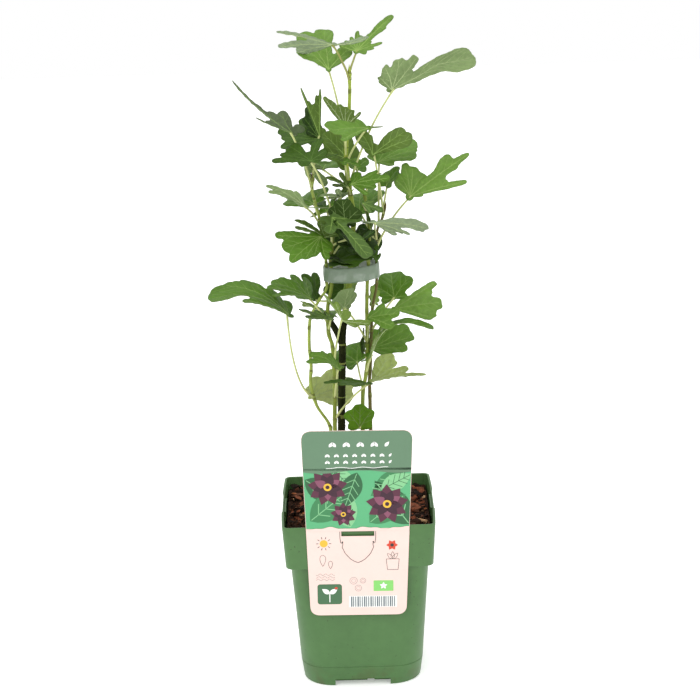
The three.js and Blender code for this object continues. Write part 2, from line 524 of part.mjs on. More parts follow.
// Leaves of each mass, lowest first. foot is the height where the stalk leaves the shoot;
// stalk is [length, heading, rise] and blade is [length, heading, rise, roll], in mm and degrees.
// far is the number of leaves that the growing rule below adds on the side away from the card
const masses = {
  leader_low: { shoot: "leader", from: 317.3, to: 372, far: 2, leaves: [
    { foot: 322, stalk: [22, 99, 20], blade: [22, 33, 40, 0], shape: "broad", arch: 0.05, fold: 0.1 },
    { foot: 334, stalk: [10, 125, 35], blade: [16, 176, 2, -60], shape: "oval", arch: 0.05, fold: 0.1 },
    { foot: 366.5, stalk: [18, 112, 46], blade: [21, 178, 2, -62], shape: "broad", arch: 0.05, fold: 0.1 },
    { foot: 366, stalk: [18, 78, 45], blade: [25, -2, 4, 62], shape: "broad", arch: 0.05, fold: 0.1 },
  ] },
  leader_upper: { shoot: "leader", from: 420.3, to: 478, far: 1, leaves: [
    { foot: 423, stalk: [16, -100, 42], blade: [22, -156, 26, 40], shape: "swallow", arch: 0.05, fold: 0.1 },
    { foot: 425, stalk: [29, 104, 81], blade: [31, 171, 46, -40], shape: "oval", arch: 0.05, fold: 0.1 },
    { foot: 432, stalk: [88, 11, 64], blade: [73, 2, 19, -50], shape: "longPaddle", arch: 0.05, fold: 0.1 },
    { foot: 433, stalk: [25, -108, 62], blade: [17, -36, -9, 10], shape: "trident", arch: 0.05, fold: 0.1 },
    { foot: 451, stalk: [42, -43, 52], blade: [38, -146, 11, -42], shape: "shield", arch: 0.05, fold: 0.1 },
    { foot: 455, stalk: [30, -83, 76], blade: [35, -133, 48, 50], shape: "claw", arch: 0.05, fold: 0.05 },
    { foot: 464, stalk: [67.5, 156, 78], blade: [41, 102, 46, 0], shape: "crownBack", arch: 0.05, fold: 0.05 },
  ] },
  leader_top: { shoot: "leader", from: 478.3, to: 535, leaves: [
    { foot: 521, stalk: [36, -135, 62], blade: [47, 178, 7, 38], shape: "crownLeft", arch: 0.04, fold: 0.04 },
    { foot: 527, stalk: [20, 51, 60], blade: [45, 33, 34, 40], shape: "crownRight", arch: 0.05, fold: 0.05 },
  ] },
  left_low: { shoot: "left", from: 226.3, to: 290, leaves: [
    { foot: 232, stalk: [49, -26, 46], blade: [46, -151, 11, -8], shape: "canoe", arch: 0.05, fold: 0.05 },
    { foot: 250, stalk: [35, -75, 62], blade: [32, -163, 27, -20], shape: "lean", arch: 0.15, fold: 0.1 },
    { foot: 281, stalk: [47, -63, 67], blade: [28, -164, 57, 55], shape: "sash", arch: 0.05, fold: 0.05 },
  ] },
  left_mid: { shoot: "left", from: 290.3, to: 342, far: 1, leaves: [
    { foot: 311, stalk: [14, -67, 53], blade: [31, -170, 21, -8], shape: "blade", arch: 0.02, fold: 0.1 },
    { foot: 316, stalk: [26, 151, 51], blade: [39, -173, 17, -16], shape: "saddle", arch: 0.1, fold: 0.1 },
    { foot: 337, stalk: [36, 109, -15], blade: [24, 131, 56, 0], shape: "cup", arch: 0.05, fold: 0.1 },
  ] },
  left_top: { shoot: "left", from: 366.3, to: 424, far: 1, leaves: [
    { foot: 370, stalk: [26, -133, 65], blade: [38, -137, -22, -25], shape: "blunt", arch: 0.05, fold: 0.1 },
    { foot: 371, stalk: [23, -39, -4], blade: [24, -165, 18, 0], shape: "oval", arch: 0.05, fold: 0.1 },
    { foot: 372, stalk: [23, -22, 52], blade: [22, -150, 51, -30], shape: "broad", arch: 0.05, fold: 0.1 },
    { foot: 376, stalk: [18, -129, 64], blade: [33, -154, 33, 20], shape: "hand", arch: 0.05, fold: 0.1 },
    { foot: 380, stalk: [33, -85, 68], blade: [48, -39, -37, 20], shape: "paddle", arch: 0.05, fold: 0.1 },
    { foot: 384, stalk: [22, -43, 21], blade: [22, -164, 49, -30], shape: "oval", arch: 0.05, fold: 0.1 },
    { foot: 398, stalk: [17, -51, 25], blade: [23, -108, 74, 0], shape: "broad", arch: 0.05, fold: 0.1 },
    { foot: 406, stalk: [59, -136, 65], blade: [30, 115, 23, -20], shape: "maple", arch: 0.05, fold: 0.1 },
    { foot: 414, stalk: [16, -56, 53], blade: [21, -157, 9, 30], shape: "trident", arch: 0.05, fold: 0.1 },
  ] },
  thin_low: { shoot: "thin", from: 238.3, to: 256, leaves: [
    { foot: 243, stalk: [17, 103, -10], blade: [42, 14, 12, -66], shape: "sail", arch: 0.05, fold: 0.1 },
    { foot: 247, stalk: [78, -149, 74], blade: [69, -176, 20, -12], shape: "drooping", arch: 0.15, fold: 0.1,
      bow: 0.4 },
  ] },
  thin_top: { shoot: "thin", from: 395.3, to: 444, far: 1, leaves: [
    { foot: 400, stalk: [22, -144, 50], blade: [39, -166, 32, 50], shape: "curl", arch: 0.1, fold: 0.1 },
    { foot: 421, stalk: [33, 135, 70], blade: [28, 6, -50, -60], shape: "strap", arch: 0.05, fold: 0.1 },
    { foot: 430, stalk: [51, -172, 73], blade: [67, 180, 42, 45], shape: "streamer",
      arch: -0.05, fold: 0.05 },
    { foot: 437, stalk: [46, 79, 38], blade: [38, 162, 10, -40], shape: "wide", arch: 0.05, fold: 0.1 },
    { foot: 438, stalk: [40, 72, 55], blade: [42, 157, 68, -60], shape: "horns", arch: 0.05, fold: 0.1 },
    { foot: 439, stalk: [47, 81, 37], blade: [28, 144, 63, -60], shape: "thumb", arch: 0.05, fold: 0.1 },
  ] },
  right_low: { shoot: "right", from: 218.3, to: 305, far: 1, leaves: [
    { foot: 223, stalk: [10, -104, 18], blade: [24, -85, 76, 0], shape: "oval", arch: 0.05, fold: 0.1 },
    { foot: 272, stalk: [21, -69, 53], blade: [60, -9, 26, 0], shape: "paddle", arch: 0.3, fold: 0.1 },
    { foot: 279, stalk: [13, 102, 58], blade: [21, -76, 84, 70], shape: "oval", arch: 0.05, fold: 0.1 },
    { foot: 297, stalk: [28, -80, 69], blade: [27, -32, 11, 50], shape: "cup", arch: 0.05, fold: 0.1 },
    { foot: 298, stalk: [37, -176, 59], blade: [21, -54, 66, 0], shape: "broad", arch: 0.05, fold: 0.1 },
  ] },
  right_top: { shoot: "right", from: 366.3, to: 443, far: 1, leaves: [
    { foot: 369, stalk: [23, -167, 53], blade: [20, -8, 19, 20], shape: "broad", arch: 0.05, fold: 0.1 },
    { foot: 378, stalk: [23, -128, 21], blade: [23, 3, 35, 50], shape: "strap", arch: 0.05, fold: 0.1 },
    { foot: 392, stalk: [7, -71, 53], blade: [17, -157, 72, 0], shape: "strap", arch: 0.05, fold: 0.1 },
    { foot: 405, stalk: [19, -117, 56], blade: [19, 7, -24, 60], shape: "strap", arch: 0.05, fold: 0.1 },
    { foot: 424, stalk: [17, 49, 59], blade: [10, 5, 17, 0], shape: "strap", arch: 0.05, fold: 0.1 },
    { foot: 435, stalk: [19, -120, 8], blade: [34, -25, 10, 40], shape: "notched", arch: 0.05, fold: 0.1 },
  ] },
  far_right_low: { shoot: "far_right", from: 246.3, to: 318, far: 1, leaves: [
    { foot: 257, stalk: [11, -79, 19], blade: [46, -2, 9, -50], shape: "spoon", arch: 0.05, fold: 0.1 },
    { foot: 268, stalk: [18, 80, 64], blade: [37, 3, 11, 40], shape: "toothed", arch: 0.05, fold: 0.1 },
    { foot: 305, stalk: [29, -23, 43], blade: [37, -16, 15, 58], shape: "knee", arch: 0.05, fold: 0.1 },
    { foot: 314, stalk: [15, 69, 58], blade: [20, 71, 78, 70], shape: "sliver", arch: 0.05, fold: 0.1 },
  ] },
  far_right_top: { shoot: "far_right", from: 372.3, to: 418, far: 1, leaves: [
    { foot: 376, stalk: [12, -88, -37], blade: [16, 0, 89, 60], shape: "strap", arch: 0.05, fold: 0.1 },
    { foot: 378, stalk: [53, -4, 56], blade: [60, 0, 34, 62], shape: "forked", arch: 0.05, fold: 0.05 },
    { foot: 385, stalk: [32, -96, 39], blade: [47, -15, -7, -50], shape: "wings", arch: 0.05, fold: 0.05 },
    { foot: 397, stalk: [53, 85, 82], blade: [36, 13, 18, 30], shape: "fan", arch: 0.05, fold: 0.1 },
    { foot: 404, stalk: [27, 66, 66], blade: [20, 35, 46, 0], shape: "oval", arch: 0.05, fold: 0.1 },
    { foot: 407, stalk: [54, -127, 76], blade: [34, -9, 38, 60], shape: "heart", arch: 0.05, fold: 0.1 },
  ] },
};

// The growing rule: leaves on the far side by repeatable random numbers. One that would come near
// another shoot or a leaf of another mass is skipped
const growth = {
  seed: 45, tries: 400, shapes: ["broad", "hand", "trident", "oval"], keepOff: 5, limbGap: 3, bandGap: 11,
  stalk: [20, 42], spread: 55, rise: [15, 55], blade: [28, 44], turn: 50, bladeRise: [-10, 40], roll: 25,
};
const flatMarks = [0, 0.2, 0.4, 0.6, 0.8, 1].flatMap((x) => [-0.5, -0.25, 0, 0.25, 0.5].map((y) => [x, y]));
// Points all over a leaf, to measure how near it comes to something else
function marksOf(shoot, row) {
  const [start, base] = stalkEnds(shoot, row);
  const place = bladePlacer(shoot, row);
  const along = [0.15, 0.3, 0.45, 0.6, 0.75, 0.9].map((t) => start.clone().lerp(base, t));
  return [...along, base, ...flatMarks.map((p) => place(p))];
}
function growFarLeaves() {
  const random = seeded(growth.seed);
  const between = ([low, high]) => lerp(low, high, random());
  const around = (middle, spread) => middle + (random() * 2 - 1) * spread;
  for (const [name, mass] of Object.entries(masses)) {
    const { shoot, from, to, far = 0 } = mass;
    let wanted = far;
    for (let k = 0; k < growth.tries && wanted > 0; k++) {
      const foot = lerp(from + 5, to - 12, random());
      const heading = around(90, growth.spread);
      const row = {
        foot,
        stalk: [between(growth.stalk), heading, between(growth.rise)],
        blade: [
          between(growth.blade), around(heading, growth.turn),
          between(growth.bladeRise), around(0, growth.roll),
        ],
        shape: growth.shapes[Math.floor(random() * growth.shapes.length)],
        arch: 0.1, fold: 0.1,
      };
      const marks = marksOf(shoot, row);
      const meets = (other, p) => centreAt(other, p.z).distanceTo(p) < radiusAt(other, p.z) + growth.limbGap;
      const nearLimb = Object.entries(shoots).some(([other, { route }]) => other !== shoot
        && marks.some((p) => p.z > route[0][2] && p.z < route[route.length - 1][2] && meets(other, p)));
      const nearBand = marks.some((p) => Math.abs(p.z - band.at) < growth.bandGap);
      const nearLeaf = Object.entries(masses).some(([other, m]) => m.leaves.some((r) =>
        marksOf(m.shoot, r).some((q) => marks.some((p) => p.distanceTo(q) < growth.keepOff))));
      if (nearLimb || nearBand || nearLeaf) continue;
      mass.leaves.push(row);
      wanted--;
    }
  }
}
growFarLeaves();

// Bare stretches of the shoots between the leafy ones
const limbs = {
  leader_stem: ["leader", 372.3, 420],
  left_shoot: ["left", ground, 226],
  left_shoot_upper: ["left", 342.3, 366],
  thin_shoot: ["thin", ground, 238],
  thin_shoot_upper: ["thin", 256.3, 395],
  right_shoot: ["right", ground, 218],
  right_shoot_upper: ["right", 305.3, 366],
  far_right_shoot: ["far_right", ground, 246],
  far_right_upper: ["far_right", 318.3, 372],
};
// Trunk up to its fork, with the cut and dried branch beside the leader
function makeTrunk() {
  const stub = [[-10, 0, 296], [-15, -2, 309], [-20, -2, 318], [-22, -3, 326]]
    .map((p) => new THREE.Vector3(...p));
  return limb("trunk", ground, 317, 8).add(bar(stub, 2.7, 2.4, 8));
}

// Assembly
const plant = new THREE.Group();
const finish = (color, roughness) => new THREE.MeshStandardMaterial({ color, roughness, metalness: 0 });
function addNode(name, solid, material) {
  const mesh = new THREE.Mesh(toGeometry(solid), material);
  mesh.name = name;
  plant.add(mesh);
}
addNode("pot", makePot(), finish(0x5b8050, 0.5));
addNode("potting_mix", makeSoil(), finish(0x3a2418, 0.95));
addNode("plant_card", makeCard(), finish(0xf3e6dc, 0.4));
addNode("band", makeBand(), finish(0x9aa79c, 0.3));
addNode("trunk", makeTrunk(), finish(0x3f3a24, 0.8));
for (const [name, [shoot, from, to]] of Object.entries(limbs)) {
  addNode(name, limb(shoot, from, to), finish(0x7f9a3c, 0.6));
}
for (const [name, { shoot, from, to, leaves }] of Object.entries(masses)) {
  const grown = leaves.map((row) => makeLeaf(shoot, row));
  addNode(name, joined([limb(shoot, from, to), ...grown]), finish(0x4f8a3c, 0.5));
}

export default plant;
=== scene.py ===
"""Finished surfaces of a young potted fig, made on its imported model.

The leaves, stalks and shoots grow by the rule of the plant's solids, in millimetres, and are carried to
finer detail: toothed margins, veins, nodes and bark. Every other piece replaces the solid of its name.
"""
import math
from dataclasses import dataclass

import bmesh
import bpy
import numpy as np
from mathutils import Matrix, Vector
from mathutils.geometry import delaunay_2d_cdt, tessellate_polygon


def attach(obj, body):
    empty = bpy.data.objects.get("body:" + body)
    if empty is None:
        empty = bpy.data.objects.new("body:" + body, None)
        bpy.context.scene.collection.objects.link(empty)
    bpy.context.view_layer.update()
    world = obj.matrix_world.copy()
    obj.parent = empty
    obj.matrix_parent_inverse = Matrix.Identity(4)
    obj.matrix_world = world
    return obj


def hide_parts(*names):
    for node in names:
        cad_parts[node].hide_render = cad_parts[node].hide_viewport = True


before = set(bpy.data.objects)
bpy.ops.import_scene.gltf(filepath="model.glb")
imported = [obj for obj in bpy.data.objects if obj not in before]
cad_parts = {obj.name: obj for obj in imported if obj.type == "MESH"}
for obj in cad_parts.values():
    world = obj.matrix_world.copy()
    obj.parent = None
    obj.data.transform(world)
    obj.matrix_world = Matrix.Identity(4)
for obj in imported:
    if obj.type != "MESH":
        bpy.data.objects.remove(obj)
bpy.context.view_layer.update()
MM = 0.001

# Sizes of the solids, in millimetres
CLEAR = 0.3
POT = {
    "height": 153, "wall": 2, "floor": 8,
    "collar_bottom": 114, "collar_half": (63.2, 65.4), "collar_corner": (7, 6), "collar_bow": 1.3,
    "body_half": (51.2, 53.4, 59.2), "body_corner": (27, 25, 10), "groove_at": 18,
    "skirt_corner": 25, "block_half": 41.5, "block_corner": 19, "notch_width": 48, "notch_height": 6,
    "channel_width": 6, "channel_at": 7, "panel_width": 50, "panel_depth": 1,
}
SOIL = {
    "top": 143, "gap": 1.2, "flat": 26, "bare": 20, "big": 8,
    "bed_points": 90, "bed_deep": 12, "fibres": 150,
}
CARD = {
    "bottom": 70.6, "top": 240.8, "widths": (82.8, 93.2), "corner": 9, "thick": 0.6, "at": -0.9,
    "turn": 0.9, "slot_width": 28, "slot": (144.6, 149.2), "hook_width": 28, "hook_depth": 8,
}
BAND = {
    "at": 359.5, "height": 13, "half_wide": 24, "half_deep": 15.5, "thick": 0.6, "tilt": 3,
    "around": 120, "rows": 9, "overlap": 0.45,
}
# The ribbed holder inside the collar: its lowest and highest edge, half length, depth, rim and ribs
HOLDER = {"low": 141, "high": 150, "half": 17, "deep": 1.4, "rim": 1.2, "rib": 0.5, "pitch": 5.0}
# The stub of a side branch on the trunk, its radius, and the height of the trunk's cut end
STUB = [(-10, 0, 296), (-15, -2, 309), (-20, -2, 318), (-22, -3, 326)]
STUB_RADIUS = 2.7
TRUNK_TOP = 317
# The height above which the leader's stalks are brown
BROWN_STALKS = 505
GROUND = SOIL["top"] + CLEAR


@dataclass
class Shoot:
    """Centre line by height, radii at foot and tip, root flare and length of the tip's bud"""
    route: list
    radii: tuple
    flare: float = 0
    bud: float = 0


@dataclass
class Leaf:
    """foot: height on the shoot; stalk: length, heading, rise; blade: length, heading, rise, roll"""
    foot: float
    stalk: tuple
    blade: tuple
    shape: str
    arch: float = 0.05
    fold: float = 0.1
    bow: float = -0.1
    tone: str = "mid"


@dataclass
class Mass:
    """A leafy stretch of a shoot, with the number of leaves that grow on its far side"""
    shoot: str
    low: float
    high: float
    far: int
    leaves: list


SHOOTS = {
    "trunk": Shoot([
        (-13, 0, GROUND), (-13, 0, 189), (-12, 0, 231), (-10, 0, 280), (-9, 0, 304), (-7, 3, 317)
    ], (3.6, 2.9), flare=2.4),
    "leader": Shoot([
        (-9, 0, 304), (-7, 3, 317), (-2, 5, 348), (1, 6, 376), (3, 5, 406), (0, 3, 432), (-2, 0, 453),
        (-1, 0, 469), (2, 0, 497), (3, 0, 521), (3, 0, 535)
    ], (2.9, 1.2), bud=12),
    "left": Shoot([
        (-18, -12, GROUND), (-18, -14, 224), (-17, -14, 267), (-18, -13, 298), (-21, -12, 309),
        (-21, -10, 329), (-17.1, -7.2, 350), (-17, -7.6, 370), (-16, -8, 380), (-14, -8, 398),
        (-12, -8, 412), (-9, -6, 424)
    ], (2, 1.4), bud=7),
    "thin": Shoot([
        (-21, 10, GROUND), (-22, 10, 215), (-34, 8, 240), (-38, 6, 261), (-37, 6, 275), (-38, 4, 294),
        (-37, 4, 314), (-28, 1, 335), (-21.1, 0, 346.5), (-21.2, 0, 356), (-21.2, 0, 366),
        (-24, 2, 387), (-26, 2, 408), (-29, 2, 420), (-31, 2, 429), (-30, 2, 444)
    ], (1.7, 1.1), bud=6),
    "right": Shoot([
        (5, -12, GROUND), (6, -12, 230), (7, -12, 255), (10, -11, 271), (12, -10, 287), (12, -9, 319),
        (13, -8, 348), (15, -8, 373), (16, -6, 391), (15, -4, 409), (12, -2, 430), (10, 0, 443)
    ], (2, 1.2), bud=7),
    "far_right": Shoot([
        (12, 10, GROUND), (13, 10, 225), (13, 10, 257), (14, 10, 271), (15, 9, 291), (17, 6, 324),
        (21, 0, 347), (21.4, 0, 357), (21.4, 0, 366), (21.5, 4, 380), (23, 6, 393), (28, 6, 405),
        (31, 6, 418)
    ], (1.9, 1), bud=10),
}

# Leaf outlines, as lobes round the stalk: angle from the midrib, length, half width in degrees, bluntness
OUTLINES = {
    "hand": [(0, 1, 19, 2.2), (44, 0.84, 20, 2.2), (-44, 0.84, 20, 2.2), (92, 0.5, 30, 2.5),
        (-92, 0.5, 30, 2.5), (0, 0.28, 140, 6)],
    "swallow": [(0, 1, 15, 2.2), (36, 0.9, 15, 2.2), (-36, 0.62, 20, 2.2), (-100, 0.6, 22, 2.2),
        (0, 0.3, 140, 6)],
    "trident": [(0, 1, 20, 2.4), (50, 0.68, 24, 2.4), (-50, 0.68, 24, 2.4), (0, 0.36, 140, 6)],
    "paddle": [(0, 1, 14, 5), (50, 0.52, 28, 3), (-50, 0.42, 28, 3), (0, 0.3, 140, 6)],
    "broad": [(0, 1, 42, 3), (46, 0.8, 36, 3), (-46, 0.8, 36, 3), (96, 0.4, 36, 2.5),
        (-96, 0.4, 36, 2.5)],
    "oval": [(0, 1, 34, 2.2), (34, 0.8, 40, 2.4), (-34, 0.8, 40, 2.4), (80, 0.46, 55, 2.5),
        (-80, 0.46, 55, 2.5)],
    "strap": [(0, 1, 17, 3), (30, 0.6, 20, 2.4), (-30, 0.6, 20, 2.4)],
    "crownLeft": [(11, 1.04, 9, 2.4), (-16, 1.02, 12, 3), (-36, 0.8, 18, 3), (162, 0.62, 14, 2.5),
        (-3, 0.5, 30, 3)],
    "crownRight": [(1.5, 1.03, 8.5, 3), (-6, 0.74, 5, 3), (-14, 0.34, 8, 3), (-22, 0.3, 10, 3),
        (-31, 0.5, 9, 2.6), (-44, 0.34, 12, 3), (-62, 0.2, 24, 3), (8, 0.42, 8, 3), (20, 0.31, 20, 4),
        (40, 0.4, 13, 3), (62, 0.31, 16, 3), (88, 0.3, 20, 3), (112, 0.34, 16, 2.5)],
    "crownBack": [(24, 1.02, 20, 3), (-4, 1, 20, 5), (50, 0.76, 12, 5), (-50, 0.66, 24, 3),
        (40, 0.88, 14, 3), (0, 0.4, 60, 4)],
    "longPaddle": [(0, 1, 18.5, 5), (8, 0.87, 12, 4), (-37, 0.5, 12, 4), (-24, 0.33, 10, 4),
        (-50, 0.41, 18, 3), (-62, 0.41, 18, 3), (-88, 0.37, 18, 3), (-106, 0.29, 14, 3),
        (-116, 0.22, 18, 2.5), (0, 0.2, 34, 3)],
    "streamer": [(2.5, 1, 3.5, 2.2), (4, 0.62, 7, 3), (12, 0.44, 14, 3), (36, 0.37, 26, 3),
        (95, 0.21, 40, 3), (-23, 0.51, 5, 2.6), (-18, 0.36, 9, 3), (-6, 0.33, 26, 3)],
    "horns": [(-0.5, 1.07, 3.5, 2.2), (-4, 0.75, 5, 3), (-22, 0.98, 4, 2.2), (-17, 0.84, 6, 3),
        (-11, 0.68, 12, 3), (-13, 0.34, 20, 3), (-40, 0.2, 50, 3)],
    "thumb": [(-3, 1.02, 15, 3), (12, 0.78, 16, 3), (34, 0.44, 30, 3), (-30, 0.4, 30, 3)],
    "wide": [(32, 0.9, 16, 3), (12, 0.88, 16, 3), (-2, 1.02, 14, 3), (-34, 0.7, 24, 3),
        (0, 0.3, 100, 4)],
    "maple": [(61, 1.08, 13, 3), (42, 0.92, 16, 3), (16, 0.96, 24, 4), (-42, 0.86, 22, 3),
        (-84, 0.56, 24, 3), (-110, 0.8, 8, 2.4), (-147, 0.68, 9, 2.4), (0, 0.36, 160, 8)],
    "claw": [(0, 1.08, 8, 2.4), (4, 0.9, 10, 3), (-4, 0.66, 9, 3), (16, 0.64, 14, 3), (30, 0.54, 16, 3),
        (50, 0.48, 24, 3), (80, 0.5, 9, 3), (78, 0.33, 26, 4), (106, 0.32, 20, 3), (133, 0.66, 7, 3),
        (137, 1.03, 4.5, 2.2)],
    "shield": [(27, 1.08, 8, 3), (8, 1.09, 20, 4), (-3, 1.03, 10, 3), (0, 0.4, 50, 3)],
    "heart": [(-2, 1.03, 25, 3), (-17, 1.12, 16, 4), (86, 0.71, 27, 4), (62, 0.5, 18, 3),
        (48, 0.3, 90, 4)],
    "fan": [(8, 1.06, 19, 3), (-7, 0.97, 12, 3), (-22, 0.94, 18, 3.5), (42, 0.52, 26, 3),
        (100, 0.36, 44, 3), (-50, 0.44, 26, 3)],
    "notched": [(2, 1.05, 13, 3), (18, 0.76, 12, 3), (-18, 0.79, 16, 3), (-39, 0.82, 9, 3),
        (58, 0.38, 44, 3)],
    "forked": [(1, 1.03, 6, 2.5), (9, 0.82, 10.5, 4), (-4, 0.8, 5, 3), (-7, 0.6, 6, 3),
        (-21.5, 0.85, 6, 3), (-16, 0.6, 12, 3), (-28, 0.2, 16, 3), (30, 0.38, 30, 4), (52, 0.42, 20, 3),
        (66, 0.47, 14, 3), (82, 0.36, 16, 3), (97, 0.33, 20, 3)],
    "wings": [(-4, 1.02, 10, 3.5), (-12, 0.84, 7, 3), (5, 0.92, 6, 3), (-14, 0.55, 9, 3),
        (20, 0.69, 9, 3), (32, 0.6, 10, 3), (48, 0.56, 12, 3), (8, 0.5, 30, 4), (158, 0.24, 14, 2),
        (174, 0.6, 7, 2.2)],
    "curl": [(0, 1.02, 7, 2.5), (-10, 0.88, 9, 3), (-3, 0.62, 22, 3), (14, 0.42, 26, 3),
        (-26, 0.26, 30, 3), (150, 0.7, 6, 2.2)],
    "blunt": [(-43, 1.02, 14, 3), (-20, 0.96, 20, 4), (1, 1.03, 13, 3), (16, 0.82, 16, 3),
        (30, 0.74, 14, 3), (50, 0.82, 13, 3), (62, 0.6, 16, 3), (75, 0.42, 22, 3), (0, 0.3, 100, 4)],
    "drooping": [(8, 1.04, 20, 5), (-8, 0.88, 10, 3), (-16, 0.72, 10, 3), (-22, 0.6, 10, 3),
        (-34, 0.42, 16, 3), (-52, 0.36, 20, 3), (-80, 0.3, 26, 3), (38, 0.77, 6, 3), (33, 0.6, 9, 3),
        (20, 0.54, 22, 4)],
    "saddle": [(24, 0.98, 9, 4), (0, 1, 15, 3), (-16, 0.96, 14, 3), (-28, 0.86, 14, 3),
        (-52, 0.75, 20, 3), (-82, 0.72, 20, 3), (36, 0.5, 20, 3), (10, 0.76, 20, 3)],
    "blade": [(34, 1.03, 14, 3), (8, 1.02, 20, 3), (-20, 0.56, 20, 3), (-80, 0.42, 40, 3)],
    "cup": [(-22, 1.12, 18, 3), (4, 1.12, 20, 3), (30, 0.7, 24, 3), (0, 0.3, 100, 4)],
    "knee": [(20, 1.18, 7.5, 4), (12, 1.02, 10, 4), (-4, 1.18, 13, 4), (-16, 1.1, 12, 4),
        (-25, 1.03, 8, 4), (24, 0.5, 14, 3), (30, 0.34, 20, 3)],
    "toothed": [(4, 1.06, 14, 4), (20, 1.06, 16, 3), (40, 0.88, 22, 3), (62, 0.52, 28, 3),
        (-16, 0.88, 18, 3), (-36, 0.54, 20, 3)],
    "spoon": [(-58, 0.79, 24, 4), (2, 1.03, 7, 2.5), (-12, 0.74, 14, 3), (-36, 0.66, 16, 3),
        (-20, 0.36, 60, 3)],
    "canoe": [(2, 1, 9, 3), (18, 0.86, 14, 3), (30, 0.68, 12, 3), (-8, 0.5, 20, 3)],
    "sash": [(0, 1.03, 7, 2.2), (14, 0.66, 16, 3), (60, 0.38, 50, 3), (128, 0.85, 18, 3.5),
        (150, 0.5, 16, 3)],
    "lean": [(16, 1.08, 13, 4), (-4, 0.95, 16, 3), (-24, 0.68, 18, 3), (-46, 0.52, 22, 3),
        (-80, 0.32, 26, 3), (-120, 0.3, 24, 3), (30, 0.34, 20, 3)],
    "sliver": [(30, 0.86, 26, 3), (8, 0.82, 16, 3), (56, 0.66, 24, 3), (92, 0.42, 30, 3),
        (-14, 0.6, 20, 3), (-50, 0.3, 30, 3), (-110, 0.2, 30, 3)],
    "sail": [(-30, 0.87, 26, 3), (0, 1, 22, 3), (28, 1.01, 24, 4), (-62, 0.5, 32, 3),
        (-92, 0.3, 30, 3)],
}

